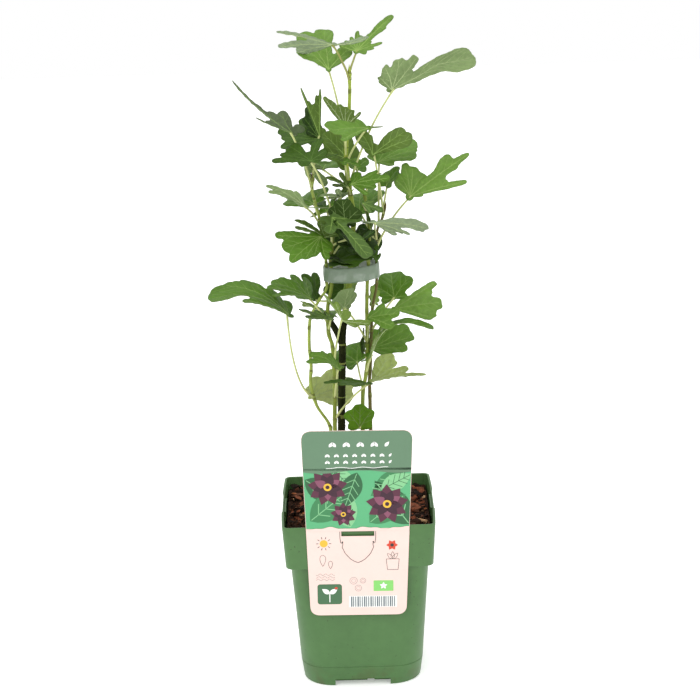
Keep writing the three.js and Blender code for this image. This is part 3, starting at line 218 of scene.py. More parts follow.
# Leaves with the dark tone carry painted shade and those with the deep tone partly so; the darkened silver
# tone paints shade and the brightened lime one paints light
MASSES = {
    "leader_low": Mass("leader", 317.3, 372, 2, [
        Leaf(322, (22, 99, 20), (22, 33, 40, 0), "broad", tone="lime"),
        Leaf(334, (10, 125, 35), (16, 176, 2, -60), "oval", tone="deep"),
        Leaf(366.5, (18, 112, 46), (21, 178, 2, -62), "broad", tone="dark"),
        Leaf(366, (18, 78, 45), (25, -2, 4, 62), "broad", tone="dark"),
    ]),
    "leader_upper": Mass("leader", 420.3, 478, 1, [
        Leaf(423, (16, -100, 42), (22, -156, 26, 40), "swallow", tone="deep"),
        Leaf(425, (29, 104, 81), (31, 171, 46, -40), "oval", tone="olive"),
        Leaf(432, (88, 11, 64), (73, 2, 19, -50), "longPaddle", tone="pale"),
        Leaf(433, (25, -108, 62), (17, -36, -9, 10), "trident"),
        Leaf(451, (42, -43, 52), (38, -146, 11, -42), "shield", tone="fresh"),
        Leaf(455, (30, -83, 76), (35, -133, 48, 50), "claw", arch=0.05, fold=0.05, tone="olive"),
        Leaf(464, (67.5, 156, 78), (41, 102, 46, 0), "crownBack", arch=0.05, fold=0.05, tone="bright"),
    ]),
    "leader_top": Mass("leader", 478.3, 535, 0, [
        Leaf(521, (36, -135, 62), (47, 178, 7, 38), "crownLeft", arch=0.04, fold=0.04, tone="silver"),
        Leaf(527, (20, 51, 60), (45, 33, 34, 40), "crownRight", arch=0.05, fold=0.05, tone="bright"),
    ]),
    "left_low": Mass("left", 226.3, 290, 0, [
        Leaf(232, (49, -26, 46), (46, -151, 11, -8), "canoe", arch=0.05, fold=0.05, tone="deep"),
        Leaf(250, (35, -75, 62), (32, -163, 27, -20), "lean", arch=0.15, fold=0.1, tone="fresh"),
        Leaf(281, (47, -63, 67), (28, -164, 57, 55), "sash", arch=0.05, fold=0.05, tone="fresh"),
    ]),
    "left_mid": Mass("left", 290.3, 342, 1, [
        Leaf(311, (14, -67, 53), (31, -170, 21, -8), "blade", arch=0.02, fold=0.1, tone="grey"),
        Leaf(316, (26, 151, 51), (39, -173, 17, -16), "saddle", arch=0.1, fold=0.1),
        Leaf(337, (36, 109, -15), (24, 131, 56, 0), "cup", tone="deep"),
    ]),
    "left_top": Mass("left", 366.3, 424, 1, [
        Leaf(370, (26, -133, 65), (38, -137, -22, -25), "blunt"),
        Leaf(371, (23, -39, -4), (24, -165, 18, 0), "oval", tone="dark"),
        Leaf(372, (23, -22, 52), (22, -150, 51, -30), "broad", tone="dark"),
        Leaf(376, (18, -129, 64), (33, -154, 33, 20), "hand", tone="deep"),
        Leaf(380, (33, -85, 68), (48, -39, -37, 20), "paddle", tone="grey"),
        Leaf(384, (22, -43, 21), (22, -164, 49, -30), "oval", tone="dark"),
        Leaf(398, (17, -51, 25), (23, -108, 74, 0), "broad", tone="dark"),
        Leaf(406, (59, -136, 65), (30, 115, 23, -20), "maple", tone="deep"),
        Leaf(414, (16, -56, 53), (21, -157, 9, 30), "trident", tone="grey"),
    ]),
    "thin_low": Mass("thin", 238.3, 256, 0, [
        # Its tone paints light onto the underside of this shaded leaf
        Leaf(243, (17, 103, -10), (42, 14, 12, -66), "sail", tone="glow"),
        Leaf(247, (78, -149, 74), (69, -176, 20, -12), "drooping", arch=0.15, fold=0.1, bow=0.4),
    ]),
    "thin_top": Mass("thin", 395.3, 444, 1, [
        Leaf(400, (22, -144, 50), (39, -166, 32, 50), "curl", arch=0.1, fold=0.1, tone="pale"),
        Leaf(421, (33, 135, 70), (28, 6, -50, -60), "strap", tone="pale"),
        # Its tone paints shade onto this leaf's grey-green underside
        Leaf(430, (51, -172, 73), (67, 180, 42, 45), "streamer", arch=-0.05, fold=0.05, tone="dusk"),
        Leaf(437, (46, 79, 38), (38, 162, 10, -40), "wide", tone="deep"),
        Leaf(438, (40, 72, 55), (42, 157, 68, -60), "horns", tone="olive"),
        Leaf(439, (47, 81, 37), (28, 144, 63, -60), "thumb", tone="dark"),
    ]),
    "right_low": Mass("right", 218.3, 305, 1, [
        Leaf(223, (10, -104, 18), (24, -85, 76, 0), "oval", tone="clear"),
        Leaf(272, (21, -69, 53), (60, -9, 26, 0), "paddle", arch=0.3, fold=0.1),
        Leaf(279, (13, 102, 58), (21, -76, 84, 70), "oval", tone="deep"),
        Leaf(297, (28, -80, 69), (27, -32, 11, 50), "cup", tone="fresh"),
        Leaf(298, (37, -176, 59), (21, -54, 66, 0), "broad", tone="pale"),
    ]),
    "right_top": Mass("right", 366.3, 443, 1, [
        Leaf(369, (23, -167, 53), (20, -8, 19, 20), "broad", tone="dark"),
        Leaf(378, (23, -128, 21), (23, 3, 35, 50), "strap", tone="dark"),
        Leaf(392, (7, -71, 53), (17, -157, 72, 0), "strap", tone="deep"),
        Leaf(405, (19, -117, 56), (19, 7, -24, 60), "strap", tone="silver"),
        Leaf(424, (17, 49, 59), (10, 5, 17, 0), "strap"),
        Leaf(435, (19, -120, 8), (34, -25, 10, 40), "notched"),
    ]),
    "far_right_low": Mass("far_right", 246.3, 318, 1, [
        Leaf(257, (11, -79, 19), (46, -2, 9, -50), "spoon", tone="lime"),
        Leaf(268, (18, 80, 64), (37, 3, 11, 40), "toothed", tone="fresh"),
        Leaf(305, (29, -23, 43), (37, -16, 15, 58), "knee", tone="bright"),
        Leaf(314, (15, 69, 58), (20, 71, 78, 70), "sliver", tone="lime"),
    ]),
    "far_right_top": Mass("far_right", 372.3, 418, 1, [
        Leaf(376, (12, -88, -37), (16, 0, 89, 60), "strap", tone="deep"),
        Leaf(378, (53, -4, 56), (60, 0, 34, 62), "forked", arch=0.05, fold=0.05, tone="bright"),
        Leaf(385, (32, -96, 39), (47, -15, -7, -50), "wings", arch=0.05, fold=0.05, tone="silver"),
        Leaf(397, (53, 85, 82), (36, 13, 18, 30), "fan", tone="fresh"),
        Leaf(404, (27, 66, 66), (20, 35, 46, 0), "oval"),
        Leaf(407, (54, -127, 76), (34, -9, 38, 60), "heart", tone="olive"),
    ]),
}

# Finer leaves close above the band, which only the visible plant has
FINE_LEAVES = {
    "left_top": Leaf(368.5, (12, -75, 20), (33, -8, 3, 14), "oval", tone="deep"),
    # The dark tone here is painted shade
    "right_top": Leaf(377, (9, -75, 30), (30, 176, 10, -16), "oval", tone="dark"),
}

# Bare stretches of the shoots between the leafy ones
LIMBS = {
    "leader_stem": ("leader", 372.3, 420),
    "left_shoot": ("left", GROUND, 226),
    "left_shoot_upper": ("left", 342.3, 366),
    "thin_shoot": ("thin", GROUND, 238),
    "thin_shoot_upper": ("thin", 256.3, 395),
    "right_shoot": ("right", GROUND, 218),
    "right_shoot_upper": ("right", 305.3, 366),
    "far_right_shoot": ("far_right", GROUND, 246),
    "far_right_upper": ("far_right", 318.3, 372),
}


def lerp(a, b, t):
    """The value between two, by a share"""
    return a + (b - a) * t


RANDOM_STEP, RANDOM_RANGE = 16807, 2147483647


def seeded(seed):
    """The small repeatable random numbers of the solids"""
    state = seed
    while True:
        state = (state * RANDOM_STEP) % RANDOM_RANGE
        yield state / RANDOM_RANGE


def linear(rgb):
    """A typed 0 to 255 colour as linear light"""
    parts = [c / 255 for c in rgb]
    return tuple(c / 12.92 if c <= 0.04045 else ((c + 0.055) / 1.055) ** 2.4 for c in parts)


# The growing rule, shared with the solids

def centre_at(shoot, z):
    """The shoot's centre at a height: a smooth curve through its route"""
    route = np.array(SHOOTS[shoot].route, float)
    last = len(route) - 1
    i = 0
    while i < last - 1 and z > route[i + 1][2]:
        i += 1

    def rate(k):
        return (route[k + 1][:2] - route[k][:2]) / (route[k + 1][2] - route[k][2])

    def slope(k):
        a, b = rate(max(0, k - 1)), rate(min(last - 1, k))
        both = np.where(a + b == 0, 1, a + b)
        return np.where(a * b > 0, 2 * a * b / both, 0)

    p, q = route[i], route[i + 1]
    span = q[2] - p[2]
    t = (z - p[2]) / span
    xy = p[:2] * (2 * t**3 - 3 * t * t + 1) + slope(i) * span * (t**3 - 2 * t * t + t)
    xy = xy + q[:2] * (3 * t * t - 2 * t**3) + slope(i + 1) * span * (t**3 - t * t)
    return np.array([xy[0], xy[1], z])


def radius_at(shoot, z):
    """The shoot's radius at a height, with root flare and the swelling and point of a tip bud"""
    made = SHOOTS[shoot]
    low, high = made.route[0][2], made.route[-1][2]
    r = lerp(*made.radii, (z - low) / (high - low))
    r += made.flare * max(0, 1 - (z - low) / 16) ** 2
    t = (z - high + made.bud) / made.bud if made.bud else -1
    if t <= 0:
        return r
    if t < 0.35:
        return r * (1 + t)
    return max(0.25, r * 1.35 * (1 - ((t - 0.35) / 0.65) ** 1.4))


def direction(heading, rise):
    """The way of a heading and a rise in degrees, with a length of 1"""
    h, r = math.radians(heading), math.radians(rise)
    return np.array([math.cos(h) * math.cos(r), math.sin(h) * math.cos(r), math.sin(r)])


def blade_axes(blade):
    """Midrib, left and upper face of a blade, turned about the midrib by its roll"""
    _, heading, rise, roll = blade
    midrib = direction(heading, rise)
    face = np.array([0, 0, 1]) - midrib * midrib[2]
    face /= np.linalg.norm(face)
    left = np.cross(face, midrib)
    c, s = math.cos(math.radians(roll)), math.sin(math.radians(roll))
    return midrib, c * left + s * face, c * face - s * left


def lift(x, y, leaf):
    """How far the blade lifts off its plane: arched along the midrib, folded up on both sides of it"""
    arched = np.where(x > 0, 4 * leaf.arch * x * (1 - x), 0.3 * x * x)
    return arched + leaf.fold * np.abs(y) * (1 - 0.25 * np.abs(y))


def stalk_ends(shoot, leaf):
    """Where a leaf's stalk leaves the shoot, and where its blade begins"""
    start = centre_at(shoot, leaf.foot)
    length, heading, rise = leaf.stalk
    return start, start + length * direction(heading, rise)


# Waists of lobes: the angle that one side of the lobe draws in to, how far out, and by what share
WAISTS = {
    "longPaddle": (-12, 0.56, 0.45), "forked": (2, 0.44, 0.42), "crownBack": (0, 0.62, -0.3),
    "drooping": (2, 0.66, 0.5),
}


def draw_in(flat, shape):
    """Points of the flat leaf, drawn in to the waist of a lobe on the side of the share's sign"""
    if shape not in WAISTS:
        return flat
    at, out, share = WAISTS[shape]
    reach = np.hypot(flat[:, 0], flat[:, 1])
    angle = np.degrees(np.arctan2(flat[:, 1], flat[:, 0]))
    off = angle - at
    near = np.exp(-(((reach - out) / 0.18) ** 2)) / (1 + (off / 34) ** 6)
    turned = np.where(off * share > 0, at + off * (1 - abs(share) * near), angle)
    return reach[:, None] * np.c_[np.cos(np.radians(turned)), np.sin(np.radians(turned))]


def placer(shoot, leaf):
    """Places points of the flat leaf, with the leaf's length as 1, on its lifted blade"""
    base = stalk_ends(shoot, leaf)[1]
    midrib, left, face = blade_axes(leaf.blade)
    size = leaf.blade[0]

    def place(flat, offset=0.0):
        flat = draw_in(np.asarray(flat, float).reshape(-1, 2), leaf.shape)
        x, y = flat[:, 0], flat[:, 1]
        up = size * lift(x, y, leaf) + offset
        return base + size * np.outer(x, midrib) + size * np.outer(y, left) + np.outer(up, face)

    return place


def reach_at(angle, shape):
    """How far the edge lies from the stalk at angles from the midrib, on a leaf of length 1"""
    turn = np.degrees(angle)
    total = np.zeros_like(turn)
    for at, length, width, blunt in OUTLINES[shape]:
        off = np.abs((turn - at + 540) % 360 - 180) / width
        total = total + (length * np.clip(1 - off**blunt, 0, None) ** 0.7) ** 8
    return np.maximum(0.06, total**0.125)


GROWTH = {
    "seed": 45, "tries": 400, "shapes": ("broad", "hand", "trident", "oval"),
    "keep_off": 5, "limb_gap": 3, "band_gap": 11,
    "stalk": (20, 42), "spread": 55, "rise": (15, 55),
    "blade": (28, 44), "turn": 50, "blade_rise": (-10, 40), "roll": 25,
}
FLAT_MARKS = [(x, y) for x in (0, 0.2, 0.4, 0.6, 0.8, 1) for y in (-0.5, -0.25, 0, 0.25, 0.5)]


def marks_of(shoot, leaf):
    """Points all over a leaf, to measure how near it comes to something else"""
    start, base = stalk_ends(shoot, leaf)
    along = [lerp(start, base, t) for t in (0.15, 0.3, 0.45, 0.6, 0.75, 0.9)]
    return np.vstack([along, base, placer(shoot, leaf)(FLAT_MARKS)])


def near_limb(shoot, marks):
    """Whether any mark comes too near to another shoot"""
    for other, made in SHOOTS.items():
        if other == shoot:
            continue
        for p in marks:
            inside = made.route[0][2] < p[2] < made.route[-1][2]
            room = radius_at(other, p[2]) + GROWTH["limb_gap"] if inside else 0
            if inside and np.linalg.norm(centre_at(other, p[2]) - p) < room:
                return True
    return False


def grow_far_leaves():
    """Leaves on the far side by repeatable random numbers; one that would meet something is skipped"""
    random = seeded(GROWTH["seed"])
    taken = [marks_of(m.shoot, leaf) for m in MASSES.values() for leaf in m.leaves]

    def between(pair):
        return lerp(*pair, next(random))

    def around(middle, spread):
        return middle + (next(random) * 2 - 1) * spread

    for mass in MASSES.values():
        wanted = mass.far
        for _ in range(GROWTH["tries"]):
            if wanted <= 0:
                break
            foot = lerp(mass.low + 5, mass.high - 12, next(random))
            heading = around(90, GROWTH["spread"])
            stalk = (between(GROWTH["stalk"]), heading, between(GROWTH["rise"]))
            blade = (between(GROWTH["blade"]), around(heading, GROWTH["turn"]),
                     between(GROWTH["blade_rise"]), around(0, GROWTH["roll"]))
            shape = GROWTH["shapes"][int(next(random) * len(GROWTH["shapes"]))]
            leaf = Leaf(foot, stalk, blade, shape, arch=0.1, fold=0.1)
            marks = marks_of(mass.shoot, leaf)
            if np.any(np.abs(marks[:, 2] - BAND["at"]) < GROWTH["band_gap"]):
                continue
            gaps = np.vstack(taken)[:, None, :] - marks[None, :, :]
            if np.min(np.sum(gaps**2, axis=2)) < GROWTH["keep_off"] ** 2:
                continue
            if near_limb(mass.shoot, marks):
                continue
            mass.leaves.append(leaf)
            taken.append(marks)
            wanted -= 1


grow_far_leaves()
for mass_name, fine_leaf in FINE_LEAVES.items():
    MASSES[mass_name].leaves.append(fine_leaf)

# Meshes and materials

class Form:
    """Points in millimetres and faces with the names of their materials, collected for one piece"""

    def __init__(self):
        self.points = []
        self.faces = []
        self.total = 0

    def add(self, points, faces, finish):
        """Adds points, and faces between them"""
        self.points.append(np.asarray(points, float))
        self.total += len(points)
        self.add_faces(np.asarray(faces, int), finish, len(points))

    def add_faces(self, faces, finish, back):
        """Adds faces between points that are there, counted from that many points back"""
        names = [finish] * len(faces) if isinstance(finish, str) else finish
        self.faces.append((faces + self.total - back, names))

    def piece(self, name, nodes, slot, smooth=True):
        """One object that stands for these nodes"""
        finishes = sorted({n for _, names in self.faces for n in names})
        number = {n: i for i, n in enumerate(finishes)}
        mesh = bpy.data.meshes.new(name)
        points = np.vstack(self.points) * MM
        mesh.vertices.add(len(points))
        mesh.vertices.foreach_set("co", points.ravel())
        corners = np.concatenate([f.ravel() for f, _ in self.faces])
        widths = np.concatenate([np.full(len(f), f.shape[1]) for f, _ in self.faces])
        mesh.loops.add(len(corners))
        mesh.loops.foreach_set("vertex_index", corners)
        mesh.polygons.add(len(widths))
        mesh.polygons.foreach_set("loop_start", np.r_[0, np.cumsum(widths)[:-1]])
        worn = [number[n] for _, names in self.faces for n in names]
        mesh.polygons.foreach_set("material_index", worn)
        mesh.polygons.foreach_set("use_smooth", [smooth] * len(widths))
        for finish in finishes:
            mesh.materials.append(material(finish))
        mesh.update(calc_edges=True)
        mesh.validate()
        made = bpy.data.objects.new(name, mesh)
        bpy.context.collection.objects.link(made)
        return settle(made, nodes)


def settle(made, nodes):
    """Rides a piece on the body and lets it stand for its nodes"""
    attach(made, "root")
    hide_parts(*nodes)
    return made


ROUND = 10


def tube(path, radii, sides=ROUND):
    """Points and faces of a round bar along a path"""
    path, radii = np.asarray(path, float), np.asarray(radii, float)
    along = np.gradient(path, axis=0)
    along /= np.linalg.norm(along, axis=1)[:, None]
    side = np.cross(along[0], (0.3, 0.2, 1) if abs(along[0][2]) < 0.9 else (1, 0, 0))
    rings = []
    turn = np.linspace(0, 2 * np.pi, sides, endpoint=False)
    for centre, way, r in zip(path, along, radii):
        side = side - way * side.dot(way)
        side /= np.linalg.norm(side)
        up = np.cross(way, side)
        rings.append(centre + r * (np.outer(np.cos(turn), side) + np.outer(np.sin(turn), up)))
    return np.vstack(rings), band_faces(len(path), sides)


def band_faces(rings, sides):
    """Quads between rings of equal count"""
    k = np.arange(sides)
    first = np.arange(rings - 1)[:, None] * sides
    after = (k + 1) % sides
    quads = np.stack([first + k, first + after, first + sides + after, first + sides + k], axis=2)
    return quads.reshape(-1, 4)


# Colours as typed from what the plant shows, 0 to 255: upper face and underside; some tones hold painted
# light or painted shade, as marked
LEAF_TONES = {
    "mid": ((92, 134, 36), (110, 134, 62)),
    "bright": ((114, 152, 62), (138, 160, 92)),
    "clear": ((92, 134, 36), (94, 140, 32)),
    "fresh": ((106, 146, 54), (124, 150, 70)),
    # deep: partly the leaves' own darker green, partly painted shade for leaves inside the plant
    "deep": ((68, 102, 24), (84, 108, 44)),
    # dark: painted shade, the green of leaves that lie in shade inside the plant
    "dark": ((44, 72, 14), (56, 80, 28)),
    "grey": ((90, 120, 54), (126, 144, 100)),
    "olive": ((94, 122, 46), (106, 130, 62)),
    # The next tone is the silver grey-green darkened as painted shade, for a leaf in shade
    "dusk": ((80, 110, 44), (102, 118, 84)),
    "silver": ((98, 130, 62), (148, 166, 130)),
    "pale": ((106, 142, 54), (140, 162, 108)),
    "lime": ((118, 148, 54), (160, 178, 104)),
    # The next tone is lime with a brighter underside, painted light on a leaf that lies in shade
    "glow": ((118, 148, 54), (186, 200, 130)),
}
# Tones whose veins take the darker vein colours: painted shade on the dark, deep and darkened silver
# leaves, and the same darker veins on clear leaves
DIM_VEINED = ("dark", "deep", "dusk", "clear")
# Strength of the relief, roughness and shine of a leaf's upper face and of its underside
LEAF_SKINS = ((0.35, 0.45, 0.28), (0.5, 0.7, 0.15))

# Other colours, by the kind of skin that wears them
PLAIN_TONES = {
    "soft": {
        # The dim vein colours are the vein colours darkened as painted shade
        "vein_top": (132, 162, 80), "vein_under": (166, 184, 130), "vein_top_dim": (84, 116, 44),
        "vein_under_dim": (120, 144, 84), "stalk": (186, 194, 128), "stalk_brown": (142, 146, 80),
        "leader_shoot": (146, 164, 62), "olive_shoot": (148, 166, 76), "scar": (108, 116, 50),
        "bud": (112, 120, 56), "sheath": (76, 66, 40),
    },
    "green": {"green_shoot": (118, 134, 44)},
    "woody": {"brown_shoot": (98, 92, 44)},
    "bark": {"old_bark": (32, 36, 12)},
    "chip": {
        "chip_black": (30, 20, 14), "chip_dark": (52, 32, 22), "chip_brown": (84, 50, 34),
        "chip_red": (118, 66, 44), "chip_orange": (164, 98, 62), "chip_tan": (186, 150, 112),
    },
    "print": {
        "card_cream": (231, 204, 195), "print_header": (94, 126, 98), "print_mint": (86, 168, 116),
        "print_leaf": (56, 124, 76), "print_leaf_dark": (40, 94, 56), "print_leaf_light": (126, 188, 134),
        "print_plum": (84, 36, 56), "print_plum_dark": (56, 22, 40), "print_plum_light": (128, 72, 94),
        # The ink colour serves the drawn lines and also the painted shadow of the tongue's cut
        "print_white": (236, 238, 234), "print_ink": (52, 48, 44), "print_grey": (140, 134, 130),
        "print_red": (204, 68, 44), "print_yellow": (222, 178, 52), "print_badge": (64, 104, 70),
        "print_lime": (128, 200, 104), "print_stripe": (102, 112, 118),
    },
}
SKINS = {
    "soft": {},
    "green": {"roughness": 0.5, "shine": 0.35, "scale": 170, "strength": 0.22},
    "woody": {"scale": 160, "strength": 0.25},
    "bark": {"roughness": 0.85, "shine": 0.1, "scale": 240, "strength": 0.5, "relief": 0.001},
    "chip": {"roughness": 0.9, "shine": 0.15, "scale": 260, "strength": 0.4, "relief": 0.0012},
    "print": {"roughness": 0.38, "shine": 0.4, "scale": 60, "strength": 0.02, "relief": 0.00005},
}
POT_GREEN, POT_FLECKS, POT_STAIN = (70, 108, 58), (52, 72, 38), (76, 82, 44)
STAIN_HEIGHT = 0.022
FILM_GREY = (122, 140, 118)
BLACK, WHITE = (0, 0, 0), (1, 1, 1)


class Paint:
    """A node material in the making, laid out in the object's own coordinates"""

    def __init__(self, name):
        self.made = bpy.data.materials.new(name)
        self.made.use_nodes = True
        self.tree = self.made.node_tree
        self.tree.nodes.clear()
        self.place = self.node("ShaderNodeTexCoord").outputs["Object"]

    def node(self, kind, inputs=None, **settings):
        """A new node, each of whose inputs gets a value or a link from another node's output"""
        new = self.tree.nodes.new(kind)
        for key, value in settings.items():
            setattr(new, key, value)
        for key, value in (inputs or {}).items():
            if isinstance(value, bpy.types.NodeSocket):
                self.tree.links.new(value, new.inputs[key])
            else:
                new.inputs[key].default_value = value
        return new

    def noise(self, scale, detail):
        inputs = {"Vector": self.place, "Scale": scale, "Detail": detail}
        return self.node("ShaderNodeTexNoise", inputs).outputs["Fac"]

    def maths(self, operation, *values):
        return self.node("ShaderNodeMath", dict(enumerate(values)), operation=operation).outputs[0]

    def ramp(self, share, *stops):
        """A colour between two, each given with the share at which it stands"""
        made = self.node("ShaderNodeValToRGB", {"Fac": share})
        for element, (at, colour) in zip(made.color_ramp.elements, stops):
            element.position = at
            element.color = (*colour, 1)
        return made.outputs["Color"]

    def blend(self, share, colour, rgb):
        """A colour that gives way to a typed one by a share"""
        return self.node("ShaderNodeMixRGB", {0: share, 1: colour, 2: (*linear(rgb), 1)}).outputs[0]

    def remap(self, value, start, end):
        inputs = {"Value": value, "From Min": start[0], "From Max": start[1]}
        inputs.update({"To Min": end[0], "To Max": end[1]})
        return self.node("ShaderNodeMapRange", inputs).outputs[0]

    def mottled(self, rgb, scale, strength):
        """A typed colour that wanders, in two sizes of noise"""
        base = linear(rgb)
        coarse = self.maths("MULTIPLY", self.noise(scale, 3.0), 0.6)
        both = self.maths("MULTIPLY_ADD", self.noise(scale * 7, 2.0), 0.4, coarse)
        dark = tuple(c * (1 - strength) for c in base)
        light = tuple(min(1, c * (1 + strength)) for c in base)
        return self.ramp(both, (0.36, dark), (0.64, light))

    def bump(self, height, strength, distance, invert=False):
        inputs = {"Height": height, "Strength": strength, "Distance": distance}
        return self.node("ShaderNodeBump", inputs, invert=invert).outputs["Normal"]

    def skin(self, colour, roughness, shine, normal):
        inputs = {"Base Color": colour, "Roughness": roughness, "Specular IOR Level": shine}
        inputs["Normal"] = normal
        return self.node("ShaderNodeBsdfPrincipled", inputs).outputs[0]

    def done(self, surface):
        self.node("ShaderNodeOutputMaterial", {"Surface": surface})
        return self.made


def leaf_finish(name, tone, under):
    """Leaf skin: fine net of veins in relief, satin above and dull below, with some light let through"""
    paint = Paint(name)
    relief, roughness, shine = LEAF_SKINS[under]
    colour = paint.mottled(LEAF_TONES[tone][under], 45, 0.14)
    mesh = {"Vector": paint.place, "Scale": 420.0}
    net = paint.node("ShaderNodeTexVoronoi", mesh, feature="DISTANCE_TO_EDGE").outputs["Distance"]
    normal = paint.bump(paint.maths("MINIMUM", net, 0.16), relief, 0.0008, invert=under)
    skin = paint.skin(colour, roughness, shine, normal)
    through = paint.node("ShaderNodeBsdfTranslucent", {"Color": colour}).outputs[0]
    return paint.done(paint.node("ShaderNodeMixShader", {0: 0.3, 1: skin, 2: through}).outputs[0])


def plain_finish(name, rgb, roughness=0.6, shine=0.3, scale=120, strength=0.15, relief=0.0003):
    """A matt or satin skin with wandering colour and fine grain"""
    paint = Paint(name)
    colour = paint.mottled(rgb, scale, strength)
    normal = paint.bump(paint.noise(scale * 8, 3.0), 0.4, relief)
    return paint.done(paint.skin(colour, roughness, shine, normal))


def pot_finish(name):
    """Recycled green plastic: faint flecks and a soil stain round the foot"""
    paint = Paint(name)
    colour = paint.mottled(POT_GREEN, 22, 0.08)
    fleck = paint.ramp(paint.noise(430.0, 2.0), (0.70, BLACK), (0.76, WHITE))
    flecked = paint.blend(fleck, colour, POT_FLECKS)
    height = paint.node("ShaderNodeSeparateXYZ", {0: paint.place}).outputs["Z"]
    low = paint.remap(height, (0.0, STAIN_HEIGHT), (0.75, 0.0))
    smear = paint.remap(paint.noise(70.0, 4.0), (0.5, 0.66), (0.0, 1.0))
    stained = paint.blend(paint.maths("MULTIPLY", low, smear), flecked, POT_STAIN)
    normal = paint.bump(paint.noise(900.0, 2.0), 0.25, 0.0002)
    return paint.done(paint.skin(stained, 0.42, 0.4, normal))


def film_finish(name):
    """Cloudy stretched film, grey-green where the leaves show through"""
    paint = Paint(name)
    colour = paint.mottled(FILM_GREY, 60, 0.08)
    film = {"Base Color": colour, "Roughness": 0.3, "Alpha": 0.78}
    return paint.done(paint.node("ShaderNodeBsdfPrincipled", film).outputs[0])


def floor_finish(name):
    """White with a little light of its own, so that shadows on it stay faint"""
    paint = Paint(name)
    white = {"Base Color": (*WHITE, 1), "Roughness": 0.9, "Specular IOR Level": 0.1,
             "Emission Color": (*WHITE, 1), "Emission Strength": 0.3}
    return paint.done(paint.node("ShaderNodeBsdfPrincipled", white).outputs[0])


FINISHES = {"pot_green": pot_finish, "band_film": film_finish, "floor_white": floor_finish}
MADE = {}


def material(name):
    """The finish of that name, made once"""
    if name not in MADE:
        side, _, tone = name.partition("_leaf_")
        if name in FINISHES:
            MADE[name] = FINISHES[name](name)
        elif side in ("top", "under"):
            MADE[name] = leaf_finish(name, tone, side == "under")
        else:
            kind = next(kind for kind, tones in PLAIN_TONES.items() if name in tones)
            MADE[name] = plain_finish(name, PLAIN_TONES[kind][name], **SKINS[kind])
    return MADE[name]


# Leaves

# Detail of a leaf in millimetres, with the angles of its veins in degrees; hollows have a depth and a width
FINE = {
    "edge_step": 0.8, "grid": 1.25, "vein_step": 1.1, "thick": 0.35,
    "tooth_pitch": 4.8, "tooth_depth": 0.26, "wave_pitch": 19, "wave_depth": 0.7,
    "main_apart": 13, "side_pitch": 6.2, "side_angle": 54, "side_bend": 1.3,
    "ripple": 0.022, "main_hollow": (0.9, 3.2), "side_hollow": (0.5, 1.7),
}
# Ridge of a vein: half its width at the foot and at the tip, and its height
MAIN_RIDGE = (0.4, 0.14, 0.4)
SIDE_RIDGE = (0.15, 0.07, 0.18)
# The length of leaf whose main veins have that width
USUAL_LEAF = 45
# A stalk in millimetres: radius, taper, swelling of foot and tip, and sway along each axis
STALK = {"radius": 0.95, "taper": 0.2, "foot": 0.45, "tip": 0.25, "sway": (0.6, 0.6, 0.3)}
# Relief of old bark and of green skin, as shares of the radius
BARK_RELIEF = 0.05
GREEN_RELIEF = 0.015
# A node on a shoot: even and one-sided swelling, its width, and height, place and width of the ring above
NODE = {"even": 0.16, "sided": 0.32, "wide": 1.7, "ring": 0.12, "ring_at": 2.2, "ring_wide": 0.5}
# Old nodes without a leaf: how far they keep from leaves, from each other, and from the shoot's ends
OLD_NODES = {"clear": 7, "apart": (11, 22), "foot": 12, "tip": 10}
BUD = {"radius": 0.65, "above": 1.6, "out": 1.4, "up": 2.2}
# Headings of the dry scales round a tip bud, with their length and radius at foot and tip
SHEATHS = (20, 140, 255)
SHEATH = {"length": 7.0, "radii": (0.75, 0.12)}
TABLE = np.linspace(-np.pi, np.pi, 1441)
REACHES = {shape: reach_at(TABLE, shape) for shape in OUTLINES}


def reach_table(shape, angle):
    """The reach of a leaf's edge at angles, looked up"""
    return np.interp(angle, TABLE, REACHES[shape])


def toothed_edge(shape, size, random):
    """The edge of a flat leaf, anticlockwise, with teeth and shallow bays cut into it"""
    angle, reach = TABLE, REACHES[shape]
    edge = np.c_[reach * np.cos(angle), reach * np.sin(angle)]
    along = np.r_[0, np.cumsum(np.linalg.norm(np.diff(edge, axis=0), axis=1))] * size
    at = np.linspace(0, along[-1], max(60, int(along[-1] / FINE["edge_step"])), endpoint=False)
    even = np.c_[np.interp(at, along, edge[:, 0]), np.interp(at, along, edge[:, 1])]
    forward = np.roll(even, -1, axis=0) - np.roll(even, 1, axis=0)
    inward = np.c_[-forward[:, 1], forward[:, 0]] / np.linalg.norm(forward, axis=1)[:, None]
    start = random.uniform(0, 6, 3)
    phase = at / FINE["tooth_pitch"] + 0.3 * np.sin(at / 7 + start[0])
    teeth = FINE["tooth_depth"] * (1 - np.abs(np.sin(np.pi * phase)))
    bays = np.sin(2 * np.pi * at / FINE["wave_pitch"] + start[1] + 1.5 * np.sin(at / 23 + start[2]))
    width = nearest(even, np.vstack([line for _, line in main_veins(shape, size)])) * size
    cut = np.minimum(teeth + FINE["wave_depth"] * (0.5 + 0.5 * bays), 0.14 * width)
    clear = np.clip((np.linalg.norm(even, axis=1) - 0.12) / 0.25, 0, 1)
    return even + inward * (cut * clear / size)[:, None]


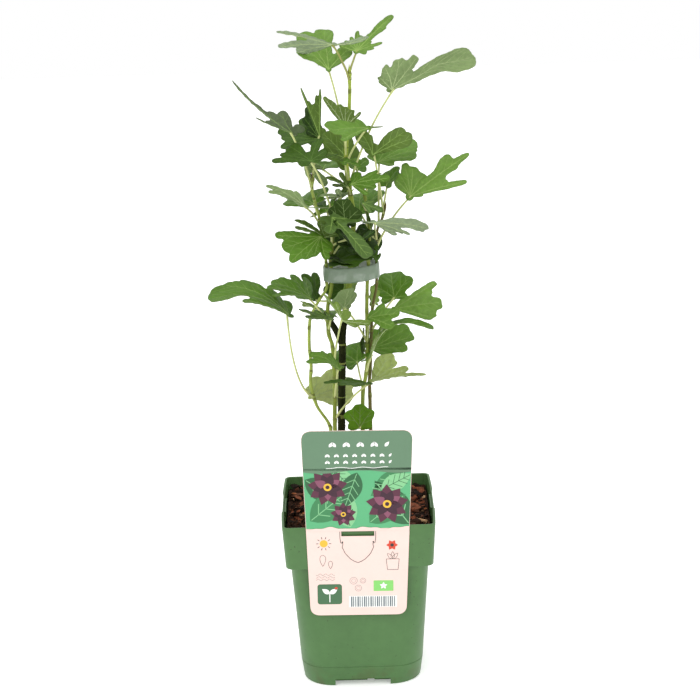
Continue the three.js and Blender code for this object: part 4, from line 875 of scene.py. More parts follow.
def main_veins(shape, size):
    """A vein from the stalk along each lobe: (its angle, points)"""
    lobes = sorted(((length, at) for at, length, width, _ in OUTLINES[shape]
                    if width <= 46 and length >= 0.28), reverse=True)
    chosen = []
    for length, at in lobes:
        if all(abs((at - other + 180) % 360 - 180) > FINE["main_apart"] for _, other in chosen):
            chosen.append((length, at))
    veins = []
    for length, at in chosen:
        end = 0.97 * min(length, float(reach_table(shape, math.radians(at))))
        t = np.linspace(0, 1, max(4, int(end * size / FINE["vein_step"])))
        turn = np.radians(at * (0.85 + 0.15 * t) if abs(at) < 100 else at + 0 * t)
        line = np.c_[end * t * np.cos(turn), end * t * np.sin(turn)]
        out = end * t > 0.96 * reach_table(shape, turn)
        if np.any(out[1:]):
            line = line[:max(3, int(np.argmax(out[1:])) + 1)]
        veins.append((math.radians(at), line))
    return veins


def side_veins(shape, size, mains):
    """Veins that leave each main vein on both sides and bend towards the tip"""
    veins = []
    step = FINE["vein_step"] / size
    for own, line in mains:
        total = (len(line) - 1) * step
        pitch = FINE["side_pitch"] / size * (0.8 + 0.4 * size / 60)
        for side in (-1, 1):
            at = pitch * (0.7 if side > 0 else 1.15)
            while at < total - 0.5 * pitch:
                k = min(len(line) - 2, int(at / step))
                p = lerp(line[k], line[k + 1], at / step - k)
                way = math.atan2(*(line[k + 1] - line[k])[::-1])
                way += side * math.radians(FINE["side_angle"] - 16 * at / total)
                points = [p]
                while len(points) * step < 0.7:
                    p = p + step * np.array([math.cos(way), math.sin(way)])
                    way -= side * math.radians(FINE["side_bend"])
                    angle, far = math.atan2(p[1], p[0]), math.hypot(*p)
                    if far > 0.97 * reach_table(shape, angle):
                        break
                    gaps = [abs((angle - other + math.pi) % (2 * math.pi) - math.pi) for other, _ in mains]
                    if gaps[[o for o, _ in mains].index(own)] > min(gaps) + 0.02:
                        break
                    points.append(p)
                if len(points) > 2:
                    veins.append(np.array(points))
                at += pitch
    return veins


def nearest(points, marks):
    """The distance from each point to the nearest mark"""
    if len(marks) == 0:
        return np.full(len(points), 9.0)
    squares = np.sum(points**2, axis=1)[:, None] + np.sum(marks**2, axis=1)[None, :]
    return np.sqrt(np.maximum(0, squares - 2 * points @ marks.T).min(axis=1))


def leaf_surface(shape, size, random):
    """The flat leaf's triangles, cut along its veins: (points, triangles, main veins, side veins)"""
    edge = toothed_edge(shape, size, random)
    mains = main_veins(shape, size)
    sides = side_veins(shape, size, mains)
    lines = [line for _, line in mains] + sides
    marks = np.vstack(lines)
    gap = FINE["grid"] / size
    (x0, y0), (x1, y1) = edge.min(axis=0), edge.max(axis=0)
    rows = np.arange(y0, y1, gap * 0.866)
    grid = []
    for k, y in enumerate(rows):
        across = np.arange(x0 + (k % 2) * gap / 2, x1, gap)
        grid.append(np.c_[across, np.full(len(across), y)])
    grid = np.vstack(grid)
    turn = np.arctan2(grid[:, 1], grid[:, 0])
    grid = grid[np.hypot(*grid.T) < reach_table(shape, turn)]
    grid = grid[nearest(grid, edge) > 0.6 * gap + FINE["tooth_depth"] / size]
    grid = grid[nearest(grid, marks) > 0.55 * gap]
    kept = [line[nearest(line, edge) > 0.35 * gap] for line in lines]
    points = [Vector(p) for p in np.vstack([edge, *kept, grid])]
    seams = []
    at = len(edge)
    for line in kept:
        seams += [(k, k + 1) for k in range(at, at + len(line) - 1)]
        at += len(line)
    ring = [list(range(len(edge)))]
    flat, _, faces, *_ = delaunay_2d_cdt(points, seams, ring, 1, 1e-7)
    return np.array([tuple(p) for p in flat]), np.array(faces), mains, sides


def rim_edges(faces):
    """The edges that belong to one triangle only, in that triangle's order"""
    pairs = np.vstack([faces[:, [0, 1]], faces[:, [1, 2]], faces[:, [2, 0]]])
    keys = np.sort(pairs, axis=1)
    _, where, counts = np.unique(keys, axis=0, return_index=True, return_counts=True)
    return pairs[where[counts == 1]]


def add_leaf(form, shoot, leaf, seed):
    """A thin two-sided blade with hollows along its veins, and the veins' ridges"""
    random = np.random.default_rng(seed)
    size = leaf.blade[0]
    place = placer(shoot, leaf)
    flat, faces, mains, sides = leaf_surface(leaf.shape, size, random)
    start = random.uniform(0, 2 * np.pi, 2)
    main_marks = np.vstack([line for _, line in mains])
    side_marks = np.vstack(sides) if sides else np.zeros((0, 2))

    def swell(points):
        """How far the blade stands off its plain form, in millimetres"""
        angle, far = np.arctan2(points[:, 1], points[:, 0]), np.hypot(*points.T)
        share = far / np.maximum(0.15, reach_table(leaf.shape, angle))
        ripple = np.sin(5 * angle + start[0]) + 0.6 * np.sin(9 * angle + start[1])
        up = FINE["ripple"] * size * ripple * share**2 * np.clip(far / 0.4, 0, 1)
        for marks, hollow in ((main_marks, "main_hollow"), (side_marks, "side_hollow")):
            deep, wide = FINE[hollow]
            gap = nearest(points, marks) * size
            up = up + deep * (1 - np.exp(-((gap / wide) ** 2)))
        return up

    half = FINE["thick"] / 2
    heights = swell(flat)
    upper, under = place(flat, heights + half), place(flat, heights - half)
    count = len(flat)
    skins = ["top_leaf_" + leaf.tone, "under_leaf_" + leaf.tone]
    rim = rim_edges(faces)
    walls = np.c_[rim[:, 0] + count, rim[:, 1] + count, rim[:, 1], rim[:, 0]]
    form.add(np.vstack([upper, under]), faces, skins[0])
    form.add_faces(faces[:, ::-1] + count, skins[1], 2 * count)
    form.add_faces(walls, skins[1], 2 * count)
    # Darker veins on leaves of the tones listed above, painted shade on the shaded ones
    ending = "_dim" if leaf.tone in DIM_VEINED else ""
    foot, tip, tall = MAIN_RIDGE
    ribs = [(line, foot * math.sqrt(size / USUAL_LEAF), tip, tall) for _, line in mains]
    ribs += [(line, *SIDE_RIDGE) for line in sides]
    for line, broad, narrow, ridge in ribs:
        widths = lerp(broad, narrow, np.linspace(0, 1, len(line)) ** 0.8)
        add_rib(form, place, line, swell, size, widths, ridge, ending)


def add_rib(form, place, line, swell, size, widths, ridge, ending):
    """One vein as a low ridge: slight on the upper face, strong on the underside"""
    way = np.gradient(line, axis=0)
    across = np.c_[-way[:, 1], way[:, 0]] / np.linalg.norm(way, axis=1)[:, None]
    shift = across * (widths / size)[:, None]
    strips = [line - shift, line, line + shift]
    count = len(line)
    k = np.arange(count - 1)
    quads = np.vstack([np.c_[k + s, k + 1 + s, k + 1 + count + s, k + count + s] for s in (0, count)])
    levels = [swell(strip) for strip in strips]
    half = FINE["thick"] / 2
    for sign, tall, finish in ((1, 0.15, "vein_top"), (-1, 1, "vein_under")):
        crest = half + 0.1 + ridge * tall * widths / max(widths)
        edge = half + 0.04
        offsets = [level + sign * up for level, up in zip(levels, (edge, crest, edge))]
        points = np.vstack([place(s, o) for s, o in zip(strips, offsets)])
        form.add(points, quads[:, ::-1] if sign > 0 else quads, finish + ending)


def add_lid(form, ring, centre, finish, turned=False):
    """Closes the end of a round bar with a fan"""
    k = np.arange(len(ring))
    fan = np.c_[k, (k + 1) % len(ring), np.full(len(ring), len(ring))]
    form.add(np.vstack([ring, centre]), fan[:, ::-1] if turned else fan, finish)


def add_stalk(form, shoot, leaf, seed):
    """A bent stalk, swollen at both ends, that runs on under the blade's base"""
    random = np.random.default_rng(seed)
    start, base = stalk_ends(shoot, leaf)
    bend = lerp(start, base, 0.5 + leaf.bow * np.array([1, 1, -1]))
    end = placer(shoot, leaf)([(0.03, 0)])[0]
    t = np.linspace(0, 1, 26)[:, None]
    path = (1 - t) ** 2 * start + 2 * t * (1 - t) * bend + t**2 * end
    wave = np.sin(2 * np.pi * (t * random.uniform(1.0, 1.8) + random.uniform(0, 1)))
    sway = wave * t * (1 - t)
    path = path + sway * np.array(STALK["sway"])
    t = t.ravel()
    radii = STALK["radius"] - STALK["taper"] * t + STALK["foot"] * np.exp(-t * 14)
    radii = radii + STALK["tip"] * np.exp(-(((t - 0.97) / 0.05) ** 2))
    points, faces = tube(path, radii)
    brown = shoot == "leader" and leaf.foot > BROWN_STALKS
    finish = "stalk_brown" if brown else "stalk"
    form.add(points, faces, finish)
    add_lid(form, points[-ROUND:], end, finish)


SHOOT_SKINS = {
    "trunk": "old_bark", "leader": "leader_shoot", "left": "green_shoot", "thin": "olive_shoot",
    "right": "green_shoot", "far_right": "brown_shoot",
}
# How far a stretch of stem runs on into the gap at either end
LAP = 0.2


def nodes_of(shoot):
    """Heights on a shoot where a leaf stands or once stood, with the heading of each"""
    made = [(leaf.foot, leaf.stalk[1]) for m in MASSES.values() if m.shoot == shoot for leaf in m.leaves]
    made.sort()
    random = np.random.default_rng(len(made) + 7)
    z = SHOOTS[shoot].route[0][2] + OLD_NODES["foot"]
    high = SHOOTS[shoot].route[-1][2] - OLD_NODES["tip"]
    old = []
    while z < high:
        if all(abs(z - at) > OLD_NODES["clear"] for at, _ in made):
            old.append((z, random.uniform(0, 360)))
        z += random.uniform(*OLD_NODES["apart"])
    return made, old


def skin_radius(shoot, z, turn, marks, phase):
    """The radius with furrows, rings and the swellings of nodes"""
    r = radius_at(shoot, z)
    ridge = BARK_RELIEF if shoot == "trunk" else GREEN_RELIEF
    rough = np.sin(7 * turn + phase + 0.22 * z) * np.sin(0.9 * z + 2 * turn + phase)
    rough = rough + 0.6 * np.sin(11 * turn - 0.31 * z + 2 * phase)
    rough = rough + 0.5 * np.sin(2.3 * z + 3 * np.sin(turn + phase))
    out = r * (1 + ridge * rough)
    for at, heading in marks:
        if abs(z - at) < 6:
            toward = 0.5 + 0.5 * np.cos(turn - math.radians(heading))
            swell = NODE["even"] + NODE["sided"] * toward**3
            out = out + swell * math.exp(-(((z - at) / NODE["wide"]) ** 2))
            out = out + NODE["ring"] * math.exp(-(((z - at - NODE["ring_at"]) / NODE["ring_wide"]) ** 2))
    return out


def add_shoot(form, shoot, low, high, sides=18, step=0.9):
    """A stretch of a shoot with bark relief, nodes, scars and buds"""
    fresh, old = nodes_of(shoot)
    marks = fresh + old
    turn = np.linspace(0, 2 * np.pi, sides, endpoint=False)
    phase = 1.3 * len(shoot)
    levels = np.linspace(low, high, max(6, int((high - low) / step)))
    rings = []
    for z in levels:
        c = centre_at(shoot, z)
        r = skin_radius(shoot, z, turn, marks, phase)
        rings.append(np.c_[c[0] + r * np.cos(turn), c[1] + r * np.sin(turn), np.full(sides, z)])
    skin = SHOOT_SKINS[shoot]
    faces = band_faces(len(levels), sides)
    heights = np.repeat((levels[:-1] + levels[1:]) / 2, sides)
    angles = np.tile(turn, len(levels) - 1)
    finish = np.full(len(faces), skin, dtype=object)
    for at, heading in marks:
        near = np.abs(heights - at - 1.7) < 0.75
        finish[near] = "scar"
        facing = np.abs((angles - math.radians(heading) + np.pi) % (2 * np.pi) - np.pi) < 0.7
        finish[(np.abs(heights - at) < 1.3) & facing & ((at, heading) in old)] = "scar"
    form.add(np.vstack(rings), faces, list(finish))
    add_lid(form, rings[0], centre_at(shoot, low), skin, turned=True)
    add_lid(form, rings[-1], centre_at(shoot, high), skin)
    for at, heading in fresh:
        if low < at < high:
            add_bud(form, shoot, at + BUD["above"], heading)


def add_bud(form, shoot, z, heading):
    """A small pointed bud that leans up from the shoot above a leaf's foot"""
    outward = direction(heading, 0)
    start = centre_at(shoot, z) + outward * radius_at(shoot, z) * 0.7
    t = np.linspace(0, 1, 6)[:, None]
    path = start + t * (outward * BUD["out"] + np.array([0, 0, BUD["up"]]))
    points, faces = tube(path, BUD["radius"] * np.sqrt(np.clip(1 - t.ravel() ** 1.5, 0.02, 1)), 7)
    form.add(points, faces, "bud")


def add_tip_sheaths(form, shoot):
    """Dry brown scales round the foot of the tip bud"""
    made = SHOOTS[shoot]
    if not made.bud:
        return
    top = made.route[-1][2] - made.bud
    for k, heading in enumerate(SHEATHS):
        outward = direction(heading, 0)
        base = centre_at(shoot, top - 1 + k) + outward * radius_at(shoot, top) * 0.75
        t = np.linspace(0, 1, 7)[:, None]
        path = base + t * np.array([0, 0, SHEATH["length"]]) + outward * (1.1 * t - 0.9 * t**2)
        points, faces = tube(path, np.linspace(*SHEATH["radii"], 7), 7)
        form.add(points, faces, "sheath")


def make_trunk():
    """The woody stem with the stub of a side branch"""
    form = Form()
    add_shoot(form, "trunk", GROUND - 2, TRUNK_TOP, 28, 0.8)
    stub = np.array(STUB, float)
    t = np.linspace(0, 3, 24)
    path = np.c_[[np.interp(t, range(4), stub[:, k]) for k in range(3)]].T
    sides = 14
    points, faces = tube(path, STUB_RADIUS - 0.1 * t + 0.12 * np.sin(7 * t), sides)
    form.add(points, faces, "old_bark")
    add_lid(form, points[-sides:], path[-1], "scar")
    form.piece("TRUNK", ["trunk"], "bark")


def make_plant():
    """The trunk, the bare stretches and every mass of leaves and stalks"""
    make_trunk()
    for name, (shoot, low, high) in LIMBS.items():
        form = Form()
        add_shoot(form, shoot, low - LAP, high + LAP)
        form.piece(name.upper(), [name], "green_stem")
    seed = 0
    for name, mass in MASSES.items():
        blades, stems = Form(), Form()
        tip = SHOOTS[mass.shoot].route[-1][2]
        add_shoot(stems, mass.shoot, mass.low - LAP, min(mass.high + LAP, tip - 0.05))
        if mass.high > tip - 3:
            add_tip_sheaths(stems, mass.shoot)
        for leaf in mass.leaves:
            seed += 1
            add_leaf(blades, mass.shoot, leaf, seed)
            add_stalk(stems, mass.shoot, leaf, seed)
        blades.piece(name.upper() + "_LEAVES", [name], "foliage")
        stems.piece(name.upper() + "_STEMS", [name], "green_stem")


# Pot and potting mix

COLLAR_RISE = POT["height"] - POT["collar_bottom"]
COLLAR_LEAN = math.atan2(POT["collar_half"][1] - POT["collar_half"][0], COLLAR_RISE)
# Angle in degrees up to which an edge of the pot is shaded smooth
SMOOTH_BELOW = 32


def square_ring(half, corner, z, bow=0.0, steps=10):
    """One ring of a square with round corners, at one height; its left and right sides may bow out"""
    ring = []
    inner = half - corner
    for side in range(4):
        toward = (side + 0.5) * math.pi / 2
        cx, cy = np.sign(math.cos(toward)), np.sign(math.sin(toward))
        for k in range(steps + 1):
            angle = (side + k / steps) * math.pi / 2
            ring.append((cx * inner + corner * math.cos(angle), cy * inner + corner * math.sin(angle), z))
        if side % 2:
            for t in np.linspace(1, -1, 17)[1:-1]:
                ring.append((cx * (half + bow * (1 - t * t)), cy * inner * t, z))
    return ring


def wall_at(z):
    """Half width and corner radius of the pot's outside at a height"""
    if z > POT["collar_bottom"]:
        t = (z - POT["collar_bottom"]) / COLLAR_RISE
        return lerp(*POT["collar_half"], t), lerp(*POT["collar_corner"], t)
    foot, low, high = POT["body_half"]
    foot_corner, low_corner, high_corner = POT["body_corner"]
    if z < POT["groove_at"]:
        t = z / POT["groove_at"]
        return lerp(foot, low, t), lerp(foot_corner, low_corner, t)
    t = (z - POT["groove_at"]) / (POT["collar_bottom"] - POT["groove_at"])
    return lerp(low, high, t), lerp(low_corner, high_corner, t)


def wall_ring(z, inset=0.0, at=None):
    """The wall's ring at a height, moved in by an inset, with the shape that it has at another height"""
    level = z if at is None else at
    half, corner = wall_at(level)
    up = max(0, (level - POT["collar_bottom"]) / COLLAR_RISE)
    return square_ring(half - inset, max(1, corner - inset), z, POT["collar_bow"] * up)


def loft(rings):
    """Points and triangles of a closed skin through rings, with a fan over each end"""
    count = len(rings[0])
    points = np.vstack([np.array(r, float) for r in rings])
    quads = band_faces(len(rings), count)
    ends = np.array([np.mean(rings[0], axis=0), np.mean(rings[-1], axis=0)])
    k = np.arange(count)
    low, last = len(points), (len(rings) - 1) * count
    fans = np.vstack([np.c_[(k + 1) % count, k, np.full(count, low)],
                      np.c_[last + k, last + (k + 1) % count, np.full(count, low + 1)]])
    triangles = np.vstack([quads[:, [0, 1, 2]], quads[:, [0, 2, 3]], fans])
    return np.vstack([points, ends]), triangles


def solid(points, faces):
    """A plain object in metres, used as the body or the tool of a cut"""
    mesh = bpy.data.meshes.new("shape")
    mesh.from_pydata((np.asarray(points, float) * MM).tolist(), [], [tuple(map(int, f)) for f in faces])
    made = bpy.data.objects.new("shape", mesh)
    bpy.context.collection.objects.link(made)
    return made


def block(x0, x1, y0, y1, z0, z1):
    """A box between two corners"""
    points = [(x, y, z) for z in (z0, z1) for y in (y0, y1) for x in (x0, x1)]
    faces = [(0, 2, 3, 1), (4, 5, 7, 6), (0, 1, 5, 4), (2, 6, 7, 3), (0, 4, 6, 2), (1, 3, 7, 5)]
    return solid(points, faces)


def bar(turned, across, along, z0, z1):
    """A box given by its reach across and along, with the two exchanged where it is turned"""
    pairs = (along, across) if turned else (across, along)
    return block(*pairs[0], *pairs[1], z0, z1)


def cut(body, tool, operation="DIFFERENCE"):
    """Applies a cut at once and removes the tool"""
    change = body.modifiers.new("cut", "BOOLEAN")
    change.operation = operation
    change.object = tool
    change.solver = "EXACT"
    shape = bpy.data.meshes.new_from_object(body.evaluated_get(bpy.context.evaluated_depsgraph_get()))
    body.modifiers.clear()
    body.data = shape
    bpy.data.objects.remove(tool)
    return body


def cut_feet(shell):
    """The groove between skirt and inner block, the notches and the drain channels below"""
    under = POT["floor"] - 2
    skirt_half = POT["body_half"][0] - POT["wall"]
    groove = loft([square_ring(skirt_half, POT["skirt_corner"], z) for z in (-1, under)])
    inner = loft([square_ring(POT["block_half"], POT["block_corner"], z) for z in (-2, under + 1)])
    cut(shell, cut(solid(*groove), solid(*inner)))
    reach = POT["body_half"][1] + 2
    half, low = POT["notch_width"] / 2, POT["channel_at"] - POT["channel_width"] / 2
    kept = POT["block_half"] + 2
    top = POT["notch_height"]
    for turned in (False, True):
        notch = bar(turned, (-half, half), (-reach, reach), -1, top)
        keep = bar(turned, (-half - 1, half + 1), (-kept, kept), -2, top + 1)
        cut(shell, cut(notch, keep))
        cut(shell, bar(turned, (low, low + POT["channel_width"]), (-reach, reach), -1, top))
    return shell


def cut_panels(shell):
    """The shallow panel in the middle of each side of the collar"""
    wide = POT["panel_width"] / 2
    for side in range(4):
        panel = block(-wide, wide, 0, 6, 2 - COLLAR_RISE, 3)
        out = POT["collar_half"][1] - POT["panel_depth"] + (side % 2) * POT["collar_bow"]
        top = Matrix.Translation((0, out * MM, POT["height"] * MM))
        turned = Matrix.Rotation(side * math.pi / 2, 4, "Z")
        panel.data.transform(turned @ top @ Matrix.Rotation(-COLLAR_LEAN, 4, "X"))
        cut(shell, panel)
    return shell


def make_pot():
    """Thin wall over a floor with rolled edges, a step round the foot and a wider collar"""
    height, wall, step, floor = POT["height"], POT["wall"], POT["collar_bottom"], POT["floor"]
    groove = POT["groove_at"]
    # Each ring: its height, how far it lies in, and another height where it has the shape of that one
    outer = [(0, 0.7), (0.25, 0.2), (0.8,), (9,)]
    outer += [(groove - 0.45,), (groove - 0.1, 0.4), (groove + 0.35, 0.4), (groove + 0.6,)]
    outer += [(z,) for z in (35, 50, 66, 82, 98, step - 0.8)]
    outer += [(step - 0.1, -0.5, step - 1), (step + 0.2, 0.9), (step + 0.5, 0.2), (step + 1.2,)]
    outer += [(step + 12,), (step + 25,), (height - 0.6,), (height - 0.15, 0.2), (height, 0.7)]
    inner = [(height, wall - 0.6), (height - 0.3, wall - 0.1), (height - 2, wall)]
    inner += [(step + wall + 1, wall), (step + wall, wall, step)]
    inner += [(z, wall) for z in (82, 50, groove + 2)]
    inner += [(floor + 2, wall, floor), (floor, wall + 2, floor)]
    rings = [wall_ring(*ring) for ring in outer + inner]
    shell = cut_panels(cut_feet(solid(*loft(rings))))
    for side in (-1, 1):
        cut(shell, wall_frame(side), "UNION")
    shell.name = shell.data.name = "POT"
    shell.data.materials.clear()
    shell.data.materials.append(material("pot_green"))
    shell.data.polygons.foreach_set("use_smooth", [True] * len(shell.data.polygons))
    shell.data.polygons.foreach_set("material_index", [0] * len(shell.data.polygons))
    shell.data.set_sharp_from_angle(angle=math.radians(SMOOTH_BELOW))
    settle(shell, ["pot"])


def wall_frame(side):
    """A shallow ribbed holder moulded inside one side wall of the collar"""
    inside = POT["collar_half"][1] + POT["collar_bow"] - POT["wall"] - 0.3
    low, high, half, rim, rib = [HOLDER[key] for key in ("low", "high", "half", "rim", "rib")]
    x0, x1 = sorted((side * (inside + 0.5), side * (inside - HOLDER["deep"])))
    made = block(x0, x1, -half, half, low, high)
    cut(made, block(x0 - 1, x1 + 1, -half + rim, half - rim, low + rim, high - rim))
    for y in np.arange(-half + HOLDER["pitch"], half - 2, HOLDER["pitch"]):
        cut(made, block(x0, x1, y - rib, y + rib, low + rib, high - rib), "UNION")
    return made


# Crumbs of the mix by size: span, number, tilt and how far they stand out
CHIP_SIZES = [
    ((10, 17), 100, 0.35, (0.2, 2.4)), ((5.5, 10), 340, 0.6, (0, 3.0)),
    ((2, 4.5), 900, 1.2, (0.2, 2.6)), ((0.8, 1.8), 700, 1.5, (0.4, 3)),
]
# How often each of the chips' colours comes up, in their order
CHIP_SHARES = (0.26, 0.28, 0.22, 0.15, 0.05, 0.04)
FIBRE_TONES = ("chip_red", "chip_tan", "chip_brown")


def hull_form(points):
    """Points and triangles of the convex skin round some points"""
    shape = bmesh.new()
    for p in points:
        shape.verts.new(p)
    made = bmesh.ops.convex_hull(shape, input=list(shape.verts))
    spare = [v for v in made["geom_interior"] + made["geom_unused"] if isinstance(v, bmesh.types.BMVert)]
    bmesh.ops.delete(shape, geom=list(set(spare)), context="VERTS")
    bmesh.ops.triangulate(shape, faces=list(shape.faces))
    shape.verts.index_update()
    out = np.array([v.co for v in shape.verts]), np.array([[v.index for v in f.verts] for f in shape.faces])
    shape.free()
    return out


def add_chip(form, random, centre, size, tilt, finish):
    """One splinter of bark: a flat, long, many-cornered crumb"""
    shape = size * np.array([1, random.uniform(0.35, 0.8), random.uniform(0.18, 0.4)]) / 2
    corners = random.normal(size=(15, 3))
    widest, length = np.max(np.abs(corners), axis=1), np.linalg.norm(corners, axis=1)
    corners /= widest[:, None] ** 0.8 * length[:, None] ** 0.2
    points, faces = hull_form(corners * shape)
    turn = Matrix.Rotation(random.uniform(0, 2 * math.pi), 3, "Z")
    roll = Matrix.Rotation(random.uniform(-tilt, tilt), 3, "X")
    lean = roll @ Matrix.Rotation(random.uniform(-tilt, tilt), 3, "Y")
    points = points @ np.array(turn @ lean).T + centre
    form.add(points, faces, finish)


def soil_level(x, y, bumps):
    """Height of the mix: flat round the stems and lumpy towards the rim"""
    out = np.clip((np.maximum(abs(x), abs(y)) - SOIL["flat"]) / 14, 0, 1)
    wave = sum(a * np.sin(kx * x + ky * y + s) for a, kx, ky, s in bumps)
    return SOIL["top"] - 0.4 + out * (0.3 + wave)


def make_soil():
    """A lumpy bed with bark chips, crumbs and fibres on it"""
    random = np.random.default_rng(23)
    bumps = [(random.uniform(0.3, 0.8), *random.uniform(-0.35, 0.35, 2), random.uniform(0, 6))
             for _ in range(7)]
    inside = wall_at(SOIL["top"])[0] - POT["wall"] - SOIL["gap"]
    make_bed(random, bumps, inside)
    make_chips(random, bumps, inside)
    make_fibres(random, bumps, inside)


def make_bed(random, bumps, inside):
    """The ground under the chips, with walls down inside the pot"""
    count = SOIL["bed_points"]
    at = np.linspace(-inside, inside, count)
    x, y = np.meshgrid(at, at)
    z = soil_level(x, y, bumps) + random.normal(0, 0.25, x.shape)
    bed = Form()
    row, column = np.divmod(np.arange((count - 1) ** 2), count - 1)
    first = row * count + column
    quads = np.c_[first, first + 1, first + count + 1, first + count]
    bed.add(np.c_[x.ravel(), y.ravel(), z.ravel()], quads, "chip_dark")
    edge = [(t, -inside) for t in at] + [(inside, t) for t in at[1:]]
    edge += [(t, inside) for t in at[-2::-1]] + [(-inside, t) for t in at[-2:0:-1]]
    rim = np.array([(*p, soil_level(*p, bumps)) for p in edge])
    walls = band_faces(2, len(rim))[:, ::-1]
    bed.add(np.vstack([rim, rim - (0, 0, SOIL["bed_deep"])]), walls, "chip_dark")
    bed.piece("SOIL_BED", ["potting_mix"], "potting_mix")


def make_chips(random, bumps, inside):
    """Splinters and crumbs of bark in four sizes, and one leaning on the collar's wall"""
    chips = Form()
    names = list(PLAIN_TONES["chip"])
    for size_range, number, tilt, lift_range in CHIP_SIZES:
        for _ in range(number):
            size = random.uniform(*size_range)
            room = inside - size * 0.45
            px, py = random.uniform(-room, room, 2)
            if max(abs(px), abs(py)) < SOIL["bare"] and size > SOIL["big"]:
                continue
            level = soil_level(px, py, bumps) + random.uniform(*lift_range)
            finish = names[random.choice(len(names), p=CHIP_SHARES)]
            add_chip(chips, random, (px, py, level), size, tilt, finish)
    add_chip(chips, random, (-inside + 5, -inside + 2.6, SOIL["top"] + 5.5), 8, 0.3, "chip_orange")
    chips.piece("SOIL_CHIPS", ["potting_mix"], "potting_mix", smooth=False)


def make_fibres(random, bumps, inside):
    """Thin bent fibres strewn over the mix"""
    fibres = Form()
    for _ in range(SOIL["fibres"]):
        start = np.append(random.uniform(-inside + 6, inside - 6, 2), 0)
        start[2] = soil_level(*start[:2], bumps) + random.uniform(0.6, 2.6)
        t = np.linspace(0, 1, 9)[:, None]
        way, bend = random.normal(size=(2, 3)) * (1, 1, 0.25)
        way *= random.uniform(3, 6) / np.linalg.norm(way)
        path = start + t * way + bend * (t - t * t) * 3
        path[:, :2] = np.clip(path[:, :2], -inside + 0.4, inside - 0.4)
        points, faces = tube(path, np.full(9, random.uniform(0.1, 0.22)), 5)
        fibres.add(points, faces, FIBRE_TONES[random.integers(len(FIBRE_TONES))])
    fibres.piece("SOIL_FIBRES", ["potting_mix"], "potting_mix")


# Plant card

# Height of one layer of print
LAYER = 0.035


def card_place(flat, out):
    """Points of the board (across, up from the rim) at a distance from its back face, in the pot's frame"""
    flat = np.asarray(flat, float).reshape(-1, 2)
    u, v, w = flat[:, 0], flat[:, 1], np.broadcast_to(out, len(flat))
    turn = math.radians(CARD["turn"])
    x, y = u * math.cos(turn) + v * math.sin(turn), -w
    z = -u * math.sin(turn) + v * math.cos(turn)
    c, s = math.cos(COLLAR_LEAN), math.sin(COLLAR_LEAN)
    y, z = y * c - z * s, y * s + z * c
    front = -POT["collar_half"][1] - CLEAR - 0.1
    return np.c_[x + CARD["at"], y + front, z + POT["height"]]


def board_outline(inset=0.0, steps=10):
    """The board's outline with round corners, anticlockwise from the front"""
    low, high = CARD["bottom"] - POT["height"] + inset, CARD["top"] - POT["height"] - inset
    w0, w1 = [w / 2 - inset for w in CARD["widths"]]
    r = CARD["corner"] - inset
    corners = [
        ((w0, low), (w0 - r, low), (w0, low + r)), ((w1, high), (w1, high - r), (w1 - r, high)),
        ((-w1, high), (-w1 + r, high), (-w1, high - r)), ((-w0, low), (-w0, low + r), (-w0 + r, low)),
    ]
    points = []
    for corner, start, end in corners:
        for t in np.linspace(0, 1, steps):
            points.append([(1 - t) ** 2 * s + 2 * t * (1 - t) * c + t * t * e
                           for s, c, e in zip(start, corner, end)])
    return np.array(points)


def slot_outline():
    """The slot's four corners, anticlockwise from the front"""
    half = CARD["slot_width"] / 2
    s0, s1 = [s - POT["height"] for s in CARD["slot"]]
    return np.array([(-half, s0), (half, s0), (half, s1), (-half, s1)])


def flat_faces(outlines):
    """Triangles that fill an outline less its holes: (points, triangles)"""
    points = np.vstack(outlines)
    loops = [[Vector((*p, 0)) for p in outline] for outline in outlines]
    faces = np.array(tessellate_polygon(loops))
    a, b, c = (points[faces[:, k]] for k in range(3))
    turned = (b - a)[:, 0] * (c - a)[:, 1] - (b - a)[:, 1] * (c - a)[:, 0] < 0
    faces[turned] = faces[turned][:, ::-1]
    return points, faces


def above(outline, low):
    """The part of an outline above a height"""
    out = []
    for (x0, y0), (x1, y1) in zip(outline, np.roll(outline, -1, axis=0)):
        crossed = y1 != y0 and 0 < (low - y0) / (y1 - y0) < 1
        for t in (0, (low - y0) / (y1 - y0)) if crossed else (0,):
            x, y = lerp(x0, x1, t), lerp(y0, y1, t)
            if y >= low - 1e-6:
                out.append((x, y))
    return np.array(out)


def side_of(a, b, x, y):
    """Above zero where a point lies to the left of the way from a to b"""
    return (b[0] - a[0]) * (y - a[1]) - (b[1] - a[1]) * (x - a[0])


def clipped(outline, frame_outline):
    """An outline cut to the inside of a convex frame, side by side"""
    points = [tuple(p) for p in outline]
    for a, b in zip(frame_outline, np.roll(frame_outline, -1, axis=0)):
        kept = []
        for p, q in zip(points, points[1:] + points[:1]):
            dp, dq = side_of(a, b, *p), side_of(a, b, *q)
            if dp >= 0:
                kept.append(p)
            if dp * dq < 0:
                t = dp / (dp - dq)
                kept.append((lerp(p[0], q[0], t), lerp(p[1], q[1], t)))
        points = kept
        if len(points) < 3:
            return None
    return np.array(points)


